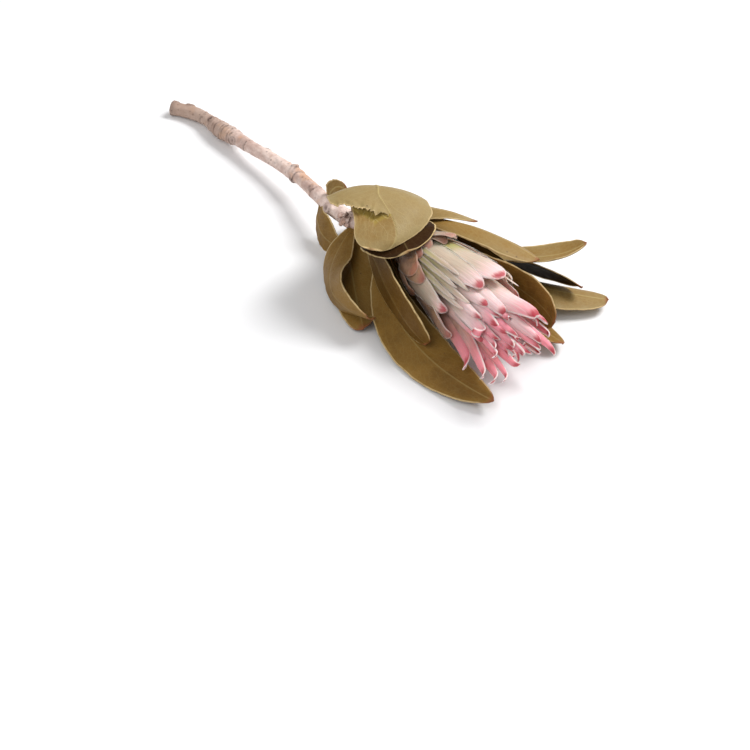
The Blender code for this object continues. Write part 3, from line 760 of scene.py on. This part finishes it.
def bark_relief(x, turn, radius):
    """(height added, how much of a scar it is) at x along the stem and turn round it."""
    height = sum(
        rise * round_noise(x * along, turn, across, seed)
        for seed, (rise, along, across) in enumerate(BARK_NOISE)
    )
    torn = math.exp(-((x - STEM_ROUTE[0][0][0]) / TORN_END_REACH) ** 2) * (1 + round_noise(x, turn, 2, 4))
    height += TORN_END_RISE * torn
    scar = 0.4 * torn
    for at, ridge, width in BARK_RINGS:
        off = (x - at - RING_SLANT * math.sin(turn + at) - RING_WOBBLE * round_noise(at, turn, 2)) / width
        height += RING_RISE * ridge * math.exp(-off * off)
        groove = math.exp(-((off - 1.3) * 2) ** 2)
        height -= RING_GROOVE * ridge * groove
        scar += groove * max(0.0, 0.55 + round_noise(at * 3, turn, 3))
    for at, angle, length, thick in STUBS:
        swing = (turn - math.radians(angle) + math.pi) % (2 * math.pi) - math.pi
        off = math.hypot((x - at) / 1.15, swing * radius) / thick
        if off > STUB_REACH:
            continue
        height += length * STUB_RISE * math.exp(-off ** 4 * 0.6)
        pit = math.exp(-(off / 0.5) ** 2)
        height -= STUB_PIT * length * pit
        rim = math.exp(-((off - 1.0) / 0.22) ** 2)
        scar += 0.8 * pit + 0.5 * rim
    return height, min(1.0, scar)


def build_stem(home, finish):
    route = smooth_route(STEM_ROUTE, STEM_STEP)
    last = len(route) - 1
    points, values = [], []

    def ring(i, share, sink=0.0, cut=0.0):
        """Points round station i: share of its radius, how far they are sunk, and how raw the wood is."""
        tangent = (route[min(i + 1, last)][0] - route[max(i - 1, 0)][0]).normalized()
        side = Vector((0, 1, 0))
        side = (side - side.dot(tangent) * tangent).normalized()
        up = tangent.cross(side)
        centre, radius = route[i]
        old = smooth_step(OLD_FROM, OLD_TO, centre.x)
        old += 0.5 * math.exp(-((centre.x - OLD_RINGS) / OLD_RINGS_REACH) ** 2)
        for k in range(STEM_SIDES):
            turn = 2 * math.pi * k / STEM_SIDES
            height, scar = bark_relief(centre.x, turn, radius)
            out = up * math.cos(turn) + side * math.sin(turn)
            rough = sink * (1 + 0.5 * uneven(3 * math.cos(turn), 3 * math.sin(turn), share * 5))
            points.append(place(*(centre + out * (radius + height) * share + tangent * rough)))
            values.append((scar * (1 - cut), cut, old, centre.x, turn))

    for share, sink, cut in CUT_RINGS:
        ring(0, share, sink, cut)
    for i in range(len(route)):
        ring(i, 1.0)
    for share in TOP_RINGS:
        ring(last, share)
    return dress(closed_tube("stem_bark", points, values, STEM_SIDES, home), finish, "stem", "stem")


# Leaves


def bezier(start, via, end, s):
    """The point, and the direction, at s on the parabola from start to end that passes via at 0.5."""
    control = 2 * via - (start + end) / 2
    point = (1 - s) ** 2 * start + 2 * s * (1 - s) * control + s * s * end
    return point, (2 * (1 - s) * (control - start) + 2 * s * (end - control)).normalized()


def blade_frames(spec, count):
    """(point, direction, normal) at count + 1 even shares, with the normal nearest to face halfway along."""
    start, via, end, face = (Vector(spec.start), Vector(spec.via), Vector(spec.end), Vector(spec.face))
    lines = [bezier(start, via, end, k / count) for k in range(count + 1)]
    middle = count // 2
    normals = [None] * (count + 1)
    along = lines[middle][1]
    normals[middle] = (face - face.dot(along) * along).normalized()
    for k in range(middle + 1, count + 1):
        turn = lines[k - 1][1].rotation_difference(lines[k][1])
        normals[k] = (turn @ normals[k - 1]).normalized()
    for k in range(middle - 1, -1, -1):
        turn = lines[k + 1][1].rotation_difference(lines[k][1])
        normals[k] = (turn @ normals[k + 1]).normalized()
    frames = []
    for k, (point, along) in enumerate(lines):
        twist = Matrix.Rotation(math.radians(spec.twist) * (k / count - 0.5), 3, along)
        frames.append((point, along, twist @ normals[k]))
    return frames


def torn_rib(s):
    """Where the torn leaf's rib runs there, from -1 to 1 across it."""
    return -TORN_RIB_DRIFT * max(0.0, s - TORN_RIB_FROM) ** 1.5


def tear_at(side):
    """Where the flap's torn edge crosses the leaf, as a share of its length, at that side."""
    jag = uneven(side * 6, 0.3, 0.7) + 1.2 * uneven(side * 19, 1.3, 0.2) + 0.5 * uneven(side * 55, 2.3, 0.2)
    return ramp(TEAR_LINE, side) + TEAR_JAG * jag


def torn_lift(s, side):
    """How far the torn leaf's wider side is raised there."""
    return TORN_RAISED * smooth_step(0.0, 0.8, -side) * smooth_step(0.45, 0.7, s) * smooth_step(1.0, 0.94, s)


def torn_spread(layer, s, side):
    """How much wider than its outline the torn leaf is there."""
    if side < 0 and layer:
        return 1 + TORN_WIDER * smooth_step(0.5, 0.72, s) * smooth_step(1.0, 0.82, s)
    if side > 0 and layer == "below":
        return 1 - TORN_SLIMMER * (0.6 + 0.4 * smooth_step(1.0, 0.86, s))
    return 1.0


def torn_squares(layer, rows, across):
    """Which squares of the torn leaf's grid belong to the flap, or to the part below it."""
    kept = np.zeros((rows, across), dtype=bool)
    for i in range(rows):
        s = (i + 0.5) / rows
        for j in range(across):
            side = -1 + 2 * (j + 0.5) / across
            lie = side * torn_spread(layer, s, side)
            past_rib = lie - torn_rib(s)
            start = tear_at(lie)
            if layer == "flap":
                kept[i, j] = past_rib < 0 or s < start
            else:
                kept[i, j] = past_rib >= 0 and s > start - TEAR_OVERLAP * smooth_step(0.0, 0.3, past_rib)
    return kept


def leaf_sheet(spec, number, rows, across, layer=None):
    """A leaf as (points, faces, marks). layer is None, or "flap" or "below" for a part of the torn leaf."""
    frames = blade_frames(spec, rows)
    length = sum((frames[k + 1][0] - frames[k][0]).length for k in range(rows))
    shape = (rows + 1, across + 1)
    points = np.zeros((*shape, 3))
    marks = {name: np.zeros(shape) for name in ("along", "across", "rib", "margin", "raw", "tip")}
    marks["tone"] = np.full(shape, spec.tone - BELOW_DARKER * (layer == "below"))
    thick = np.zeros(shape)
    for i in range(rows + 1):
        s = i / rows
        point, along, normal = frames[i]
        sideways = along.cross(normal)
        half = spec.width / 2 * outline(s, spec.widest, LEAF_FOOT, spec.point)
        bow = math.radians(spec.curl) * smooth_step(0.0, 0.35, s)
        rib_at = torn_rib(s) if layer else 0.0
        taper = 1 - 0.75 * s
        foot = smooth_step(0.22, 0.0, s)
        for j in range(across + 1):
            side = -1 + 2 * j / across
            lie = side * torn_spread(layer, s, side)
            edge = half * (1 - abs(side))

            # How far the point lies from the midrib, round a bow, with an uneven margin
            nick = sum(
                depth * uneven(s * fine, side * 1.2, number, seed) for seed, (depth, fine) in enumerate(NICKS)
            )
            reach = half * lie * (1 + nick * smooth_step(0.7, 1.0, abs(side)) / max(half, 4.0))
            angle = bow * lie if abs(bow) > LEAST_BOW else LEAST_BOW * lie
            radius = reach / angle if side else 0.0

            # How far it stands out: waves, unevenness and the rib
            phase = 2 * math.pi * spec.waves * s + side
            rise = spec.wave * side * side * math.sin(phase) * smooth_step(0.1, 0.4, s)
            rise += LEAF_RELIEF * uneven(s * 5, side * 1.6, number, 2) * smooth_step(0.05, 0.3, s)
            edge_wave = abs(side) ** 3 * uneven(s * 13, side * 2, number, 3)
            rise += MARGIN_WAVE * edge_wave * smooth_step(0.15, 0.4, s)
            off_rib = abs(reach - rib_at * half)
            rise += RIB_HEIGHT * taper * math.exp(-(off_rib / RIB_WIDTH) ** 2)

            if layer:
                rise += torn_lift(s, side)
                beyond = (s - tear_at(lie)) * length
                near = smooth_step(0.0, 0.4, lie - rib_at)
                fade = math.exp(-abs(beyond) / TEAR_REACH)
                if layer == "flap" and lie > rib_at:
                    rise += TEAR_FLAP * near * fade * (1 + 0.7 * uneven(lie * 9, s * 20, 0.4))
                    edge = min(edge, abs(beyond) + 3 * (1 - near))
                if layer == "below":
                    rise -= TEAR_SINK * near * fade
                    bare = RAW_REACH * math.exp(-((lie - RAW_SIDE) / RAW_SPREAD) ** 2)
                    marks["raw"][i, j] = smooth_step(bare, 0.5 * bare, beyond) * smooth_step(0.3, 1.0, bare)
            offset = sideways * radius * math.sin(angle) + normal * (radius * (1 - math.cos(angle)) + rise)
            points[i, j] = place(*(point + offset))
            marks["along"][i, j] = s
            marks["across"][i, j] = side
            marks["rib"][i, j] = off_rib
            marks["margin"][i, j] = min(edge, (1 - s) * length * 0.8)
            marks["tip"][i, j] = math.hypot((1 - s) * length, 0.7 * half * side)
            body = 1 + 1.6 * math.exp(-(off_rib / (RIB_WIDTH + foot)) ** 2) * (0.4 * taper + 1.6 * foot)
            thick[i, j] = LEAF_THICK * MM * body * (0.75 + 0.25 * smooth_step(0.0, 0.8, edge))
    if spec.width > BROAD_LEAF:
        marks["tip"] += BROAD_TIP
    return blade_sheet(points, thick, marks, torn_squares(layer, rows, across) if layer else None)


def build_bud(home, finish):
    """The small curled scales of a broken bud on the side of the stem, darkest at their base."""
    sheets = []
    for number, (start, via, end) in enumerate(BUD_SCALES, SCALE_FIRST):
        spec = Leaf(start, via, end, SCALE_FACE, SCALE_WIDTH, 0.5, 0.5, SCALE_CURL, 0.2, 1.0, 0, 0.25)
        points, faces, marks = leaf_sheet(spec, number, SCALE_ROWS, SCALE_ACROSS)
        marks["scar"] = np.clip(0.9 - 1.5 * marks["along"], 0.0, 0.8)
        sheets.append((points, faces, marks))
    return dress(mesh_object("bud_scales", *joined(sheets), home), finish, "stem")


def build_leaf(name, spec, number, home, finish):
    if name == TORN_LEAF:
        sheets = [leaf_sheet(spec, number, TORN_ROWS, TORN_ACROSS, layer) for layer in ("flap", "below")]
    else:
        sheets = [leaf_sheet(spec, number, LEAF_ROWS, LEAF_ACROSS)]
    return dress(mesh_object(name + "_blade", *joined(sheets), home), finish, "leaf", name)


# Bloom


def bloom_axes():
    """The bloom's axis, and the directions across it that lie nearest to +Z and +Y."""
    yaw, pitch = math.radians(AXIS_YAW), math.radians(AXIS_PITCH)
    along = Vector((math.cos(yaw) * math.cos(pitch), math.sin(yaw) * math.cos(pitch), math.sin(pitch)))
    side = Vector((-math.sin(yaw), math.cos(yaw), 0))
    return along, along.cross(side), side


ALONG, UP, SIDE = bloom_axes()


def bloom_point(distance, across, sideways):
    """A place from its distance along the bloom's axis, and across it upwards and towards +Y."""
    return Vector((0, 0, AXIS_HEIGHT)) + ALONG * distance + UP * across + SIDE * sideways


def round_point(distance, radius, turn):
    """A place from its distance along the bloom's axis, its distance from it and the angle round it."""
    return bloom_point(distance, radius * math.cos(turn), radius * math.sin(turn))


def body_radius(distance, depth):
    """How far from the axis a bract of this depth in the bloom runs: 0 is outermost, 1 innermost."""
    outer = ramp(OUTSIDE, distance)
    return outer - depth * (outer - ramp(INSIDE, distance))


def bract_plan():
    """(angle, tip distance, tip radius, width) of every bract, the outer ones first."""
    draw = random.Random(BRACT_SEED)
    plan = list(BRACTS_SEEN)
    for i in range(BRACTS_BY_RULE):
        share = i / (BRACTS_BY_RULE - 1)
        angle = i * BRACT_TURN + draw.uniform(-5, 5)
        reach = ramp(BRACT_LENGTHS, share) + draw.uniform(-4, 4)
        radius = body_radius(reach, ramp(BRACT_DEPTHS, reach)) + draw.uniform(-1.0, 2.0)
        wide = ramp(BRACT_WIDTHS, share) * draw.uniform(0.92, 1.08)
        if abs((angle - SEEN_MIDDLE + 180) % 360 - 180) > SEEN_SPREAD:
            plan.append((angle, reach, radius, wide))
    return sorted(plan, key=lambda one: one[1])


def bract_surface(spec, number):
    """(surface, half_at, depth, length): surface(s, side) is a point, and half_at(s) the half width."""
    angle, reach, tip_radius, width = spec
    spiral = spec[:2] == SPIRAL_BRACT
    if spiral:
        reach, width = SPIRAL_REACH, SPIRAL_WIDTH
    draw = random.Random(SHAPE_SEEDS + number)
    depth = ramp(BRACT_DEPTHS, reach)
    inner = smooth_step(0.3, 0.6, depth)
    start = BRACT_START + (BRACT_START_IN - BRACT_START) * depth
    root = ramp(RECEPTACLE, start) - BRACT_SINK
    flare = tip_radius - body_radius(reach, depth)
    turn = math.radians(angle)
    lift = math.radians(BRACT_LIFT) * smooth_step(*BRACT_LIFTED, reach) * smooth_step(-70, -110, angle)
    closeness = 1.0 - BRACT_HOLLOW * depth
    widest = 0.42 + 0.3 * smooth_step(0.1, 0.7, depth)
    length = reach - start

    # How far it swings sideways and turns about its length, how far its sides close to a tube, how far its
    # tip curls over, and from where on
    bend = draw.uniform(-1.8, 1.8) * (0.25 + inner)
    twist = math.radians(draw.uniform(-22, 22)) * (0.25 + inner)
    rolled = draw.uniform(1.1, 2.7) * inner
    curled = draw.choice((-1, -1, 1)) * draw.uniform(0.3, 2.4) * inner - 0.9 * (1 - inner)
    curl_from = 1 - draw.uniform(3.5, 7.0) / length
    if spiral:
        bend, twist, rolled, curled, curl_from = 0.0, 0.5, 0.6, 5.4, 1 - SPIRAL_CURL / length

    def half_at(s):
        return width / 2 * outline(s, widest, BRACT_FOOT, 0.5)

    def surface(s, side):
        past = max(0.0, s - curl_from) / (1 - curl_from)
        arc = length * (1 - curl_from) / abs(curled)
        distance = start + length * min(s, curl_from) + arc * math.sin(abs(curled) * past)
        spread = smooth_step(0.0, BRACT_OPENING / length + 0.12, s)
        radius = root + (body_radius(start + length * s, depth) - root) * spread + flare * s ** 2.5
        late = smooth_step(0.4, 0.9, s)
        half = half_at(s)
        tight = smooth_step(0.45, 0.95, s) * (0.25 + 0.5 * depth)
        full = half / (radius * closeness * (1 - 0.62 * tight))
        full += max(0.0, rolled - full) * smooth_step(0.35, 0.85, s)
        swing = full * side
        bow = half / full
        hollow, sideways = bow * (math.cos(swing) - 1), bow * math.sin(swing)
        sideways += bend * s * s * late
        roll = lift * spread + twist * late
        radius += 0.35 * uneven(s * 4, side, number) * smooth_step(0.05, 0.3, s)
        radius += 0.3 * side * side * uneven(s * 9, side * 2, number, 1) * (0.4 + inner) * late
        radius += math.copysign(arc * (1 - math.cos(abs(curled) * past)), curled)
        across = radius + hollow * math.cos(roll) - sideways * math.sin(roll)
        sideways = hollow * math.sin(roll) + sideways * math.cos(roll)
        return bloom_point(
            distance,
            across * math.cos(turn) - sideways * math.sin(turn),
            across * math.sin(turn) + sideways * math.cos(turn),
        )

    return surface, half_at, depth, length


def bract_sheet(number, spec):
    """One bract as (points, faces, marks)."""
    draw = random.Random(TONE_SEEDS + number)
    angle, reach, _, _ = spec
    surface, half_at, depth, length = bract_surface(spec, number)
    names = ("tip", "pink", "tan", "margin", "blade", "green", "long", "wide", "red", "rim")
    count = BRACT_ACROSS if number < STRIP_FIRST else SLIM_ACROSS
    shape = (BRACT_ROWS + 1, count + 1)
    points = np.zeros((*shape, 3))
    marks = {name: np.zeros(shape) for name in names}
    thick = np.full(shape, BRACT_THICK * MM)

    # Where it is in the bloom, each from 0 to 1: at the base, in the shade on the left, low, lowest of all.
    # The last three darken it with painted shade.
    basal = smooth_step(52, 38, reach)
    shaded = smooth_step(-25, -60, angle) * smooth_step(75, 55, reach)
    low = smooth_step(-72, -95, angle) * smooth_step(70, 80, reach)
    lowest = smooth_step(-94, -102, angle) * smooth_step(80, 72, reach)
    slim = is_strip(number)
    flush = smooth_step(0.25, 0.7, depth) * draw.uniform(0.4, 1.0) * (0.2 if slim else 1.0)
    marks["blade"][:] = draw.random()
    # The lowest ones lose most of their crimson tip, partly as painted shade.
    marks["red"][:] = 0.0 if slim else draw.uniform(0.8, 1.0) * (1 - 0.75 * basal) * (1 - 0.7 * lowest)
    marks["rim"][:] = (0.35 + 0.65 * smooth_step(0.3, 0.6, depth)) * (1 - 0.6 * basal)
    green = draw.uniform(0.6, 1.0) if slim else draw.uniform(0.1, 0.5) * (1 - basal)
    patch = 0.95 * math.exp(-((angle - PATCH_ANGLE) / PATCH_SPREAD) ** 2)
    patch *= smooth_step(55, 65, reach) * smooth_step(85, 78, reach)
    for i in range(shape[0]):
        s = 0.5 * i / BRACT_ROWS + 0.5 * math.sin(math.pi / 2 * i / BRACT_ROWS)
        half = half_at(s)
        brown = basal * (0.55 + 0.4 * smooth_step(-10, -50, angle)) + 0.3 * smooth_step(0.25, 0.0, s)
        # Painted shade: brown on the bracts in the shade on the left and on the low ones; on the lowest the
        # brown is partly their own tan and partly painted shade.
        brown += shaded * (1 - basal) * smooth_step(0.75, 0.2, s) * 0.8
        brown += 0.75 * low * smooth_step(1.0, 0.6, s) + 0.9 * lowest
        blush = flush * (0.3 * smooth_step(0.2, 0.7, s) + 0.7 * smooth_step(0.6, 0.95, s))
        # The 0.5 * low term is painted shade: more rose on the low bracts.
        blush += 0.35 * smooth_step(0.62, 1.0, s) * (1 - 0.7 * basal) * (not slim) + 0.5 * low
        for j in range(shape[1]):
            side = -1 + 2 * j / count
            points[i, j] = place(*surface(s, side))
            edge = min(half * (1 - abs(side)), (1 - s) * length)
            marks["tip"][i, j] = math.hypot((1 - s) * length, 0.6 * half * side)
            marks["pink"][i, j] = blush
            marks["tan"][i, j] = min(1.0, brown)
            marks["margin"][i, j] = edge
            bare = smooth_step(0.9, 0.45, s) if slim else smooth_step(0.5, 0.1, s)
            marks["green"][i, j] = green * bare + patch * smooth_step(0.56, 0.4, s - 0.05 * side)
            marks["long"][i, j] = length * s
            marks["wide"][i, j] = half * side
            thick[i, j] *= 0.45 + 0.55 * smooth_step(0.0, 1.2, edge)
    return blade_sheet(points, thick, marks)


def strip_plan():
    """(angle, tip distance, tip radius, width) of slim strips that show between the broad bracts."""
    draw = random.Random(STRIP_SEED)
    plan = list(STRIPS_SEEN)
    for _ in range(STRIPS_BY_RULE):
        angle = draw.uniform(30, 260)
        reach = draw.uniform(58, 84)
        radius = body_radius(reach, ramp(BRACT_DEPTHS, reach)) + draw.uniform(0.3, 1.6)
        plan.append((angle, reach, radius, draw.uniform(2.6, 4.6)))
    return plan


def is_strip(number):
    return STRIP_FIRST <= number < TONGUE_FIRST


def numbered_bracts():
    """(number, spec) of every bract, strip and tongue."""
    lists = ((0, bract_plan()), (STRIP_FIRST, strip_plan()), (TONGUE_FIRST, TONGUES_SEEN))
    return [(first + i, spec) for first, plan in lists for i, spec in enumerate(plan)]


def build_bracts(home, finish):
    """The bracts in three layers, each one piece."""
    sheets = [(spec[1], bract_sheet(number, spec)) for number, spec in numbered_bracts()]
    for name, (low, high) in BRACT_LAYERS.items():
        layer = [sheet for reach, sheet in sheets if low <= reach < high]
        dress(mesh_object(name, *joined(layer), home), finish, "bracts", "bract_head")


def build_receptacle(home, finish):
    """The base that the bracts grow from, with the scars of the lowest ones."""
    points, values = [], []
    first, last = RECEPTACLE[0][0], RECEPTACLE[-1][0]
    for i in range(BASE_RINGS + 1):
        distance = first + (last - first) * i / BASE_RINGS
        for k in range(BASE_SIDES):
            turn = 2 * math.pi * k / BASE_SIDES
            scales = 0.25 * math.sin(distance * 2.6) * math.cos(8 * turn + distance)
            radius = ramp(RECEPTACLE, distance) + scales + 0.2 * round_noise(distance, turn, 3)
            points.append(place(*round_point(distance, radius, turn)))
            values.append((0.5 * smooth_step(0.05, -0.2, scales), 0.0, 0.5, distance, turn))
    return dress(closed_tube("bloom_base", points, values, BASE_SIDES, home), finish, "stem")


def strand(path, radii, sides=3):
    """A tapered strand along a path of vectors in millimetres, as (points, faces, marks)."""
    points, shares = [], []
    for i, point in enumerate(path):
        tangent = (path[min(i + 1, len(path) - 1)] - path[max(i - 1, 0)]).normalized()
        side = tangent.orthogonal().normalized()
        other = tangent.cross(side)
        for k in range(sides):
            turn = 2 * math.pi * k / sides
            out = side * math.cos(turn) + other * math.sin(turn)
            points.append(tuple(place(*(point + out * radii[i]))))
            shares.append(i / (len(path) - 1))
    return np.array(points), np.array(tube_quads(len(path), sides)), {"along": np.array(shares)}


def build_florets(home, finish):
    """Closed florets packed in the middle of the bloom, each a slim tube with a swollen end."""
    draw = random.Random(FLORET_SEED)
    shortest, longest = FLORET_LENGTHS
    made = []
    for i in range(FLORETS):
        share = (i + 0.5) / FLORETS
        turn = i * math.radians(BRACT_TURN)
        foot = FLORET_FOOT * math.sqrt(share)
        reach = longest - (longest - shortest) * share ** 2 + draw.uniform(-2, 2)
        spread = FLORET_SPREAD * math.sqrt(share) + draw.uniform(-0.3, 0.3)
        path, radii = [], []
        for k in range(FLORET_STEPS + 1):
            u = k / FLORET_STEPS
            distance = FLORET_FROM + (reach - FLORET_FROM) * u
            radius = foot * (1 - u) + (foot + spread) * u - 2.2 * smooth_step(0.7, 1.0, u) * share
            path.append(round_point(distance, radius, turn + 0.12 * math.sin(3 * u + i)))
            radii.append(0.42 + 0.28 * math.exp(-((u - 0.9) / 0.08) ** 2) - 0.3 * smooth_step(0.93, 1.0, u))
        made.append(strand(path, radii, FLORET_SIDES))
    return dress(mesh_object("florets", *joined(made), home), finish, "florets", "floret_cone")


def build_hairs(home, pale, dark):
    """Long silky hairs that lie along the bracts, and fine dark ones between them."""
    draw = random.Random(HAIR_SEED)
    made = {"silky_hairs": [], "dark_hairs": []}
    for number, spec in numbered_bracts():
        surface = bract_surface(spec, number)[0]
        reach = spec[1]
        dark_share = DARK_SHARE_SLIM if is_strip(number) else DARK_SHARE
        for _ in range(HAIRS_MANY if MANY_BETWEEN[0] < reach < MANY_BETWEEN[1] else HAIRS_FEW):
            dark_one = draw.random() < dark_share and reach < DARK_UP_TO
            side = draw.choice((-1, 1)) * draw.uniform(0.86, 1.02)
            first = draw.uniform(0.15, 0.8)
            span = draw.uniform(0.08, 0.3)
            off = draw.uniform(0.2, 0.9)
            bend = draw.uniform(-0.06, 0.06)
            path = []
            for step in range(HAIR_STEPS + 1):
                u = step / HAIR_STEPS
                point = surface(min(1.0, first + span * u), side + bend * u)
                centre = bloom_point((point - Vector((0, 0, AXIS_HEIGHT))).dot(ALONG), 0, 0)
                out = (point - centre).normalized()
                path.append(point + out * (0.35 + off * u * (1 - 0.5 * u)))
            width = draw.uniform(0.05, 0.1 if dark_one else 0.09)
            radii = [width * (1 - 0.75 * step / HAIR_STEPS) for step in range(HAIR_STEPS + 1)]
            made["dark_hairs" if dark_one else "silky_hairs"].append(strand(path, radii))
    for name, finish in (("silky_hairs", pale), ("dark_hairs", dark)):
        dress(mesh_object(name, *joined(made[name]), home), finish, "florets")


# Stage


def build_floor():
    mesh = bpy.data.meshes.new("floor")
    shape = bmesh.new()
    bmesh.ops.create_grid(shape, x_segments=1, y_segments=1, size=FLOOR_REACH)
    shape.to_mesh(mesh)
    shape.free()
    floor = bpy.data.objects.new("floor", mesh)
    bpy.context.scene.collection.objects.link(floor)
    made, _, shader = finish_of("pale_floor")
    settle(shader, Base_Color=FLOOR_WHITE, Roughness=0.9)
    floor.data.materials.append(made)


def aimed(name, data, azimuth, elevation, distance, target):
    """An object for a camera or light that looks at a target from that direction and distance."""
    turn, rise = math.radians(azimuth), math.radians(elevation)
    back = Vector((math.sin(turn) * math.cos(rise), -math.cos(turn) * math.cos(rise), math.sin(rise)))
    made = bpy.data.objects.new(name, data)
    made.location = Vector(target) + back * distance
    made.rotation_euler = (Vector(target) - made.location).to_track_quat("-Z", "Y").to_euler()
    bpy.context.scene.collection.objects.link(made)
    return made


def build_lights():
    for name, (turn, elevation, distance, size, power) in LIGHTS.items():
        light = bpy.data.lights.new(name, "AREA")
        light.size = size
        light.energy = power
        aimed(name, light, CAMERA_AZIMUTH + turn, elevation, distance, LIGHT_AIM)
    world = bpy.data.worlds.new("studio")
    world.use_nodes = True
    settle(world.node_tree.nodes["Background"], Color=(1, 1, 1, 1), Strength=SKY_STRENGTH)
    bpy.context.scene.world = world
    bpy.context.scene.view_settings.view_transform = "Standard"


def build_camera():
    camera = bpy.data.cameras.new("camera")
    camera.lens = CAMERA_LENS
    camera.sensor_width = CAMERA_SENSOR
    made = aimed("camera", camera, CAMERA_AZIMUTH, CAMERA_ELEVATION, CAMERA_DISTANCE, CAMERA_AIM)
    bpy.context.scene.camera = made


build_camera()
build_floor()
build_lights()
looks = collection("looks")
bark = bark_finish()
leaf_skin = leaf_finish()
bract_skin = bract_finish()
build_stem(looks, bark)
build_bud(looks, bark)
for leaf_number, (leaf_name, leaf_spec) in enumerate(LEAVES.items()):
    build_leaf(leaf_name, leaf_spec, leaf_number, looks, leaf_skin)
build_bracts(looks, bract_skin)
build_receptacle(looks, bark)
build_florets(looks, strand_finish("floret_silk", *FLORET_SILK))
build_hairs(looks, strand_finish("silk", *PALE_HAIR), strand_finish("dark_silk", *DARK_HAIR))
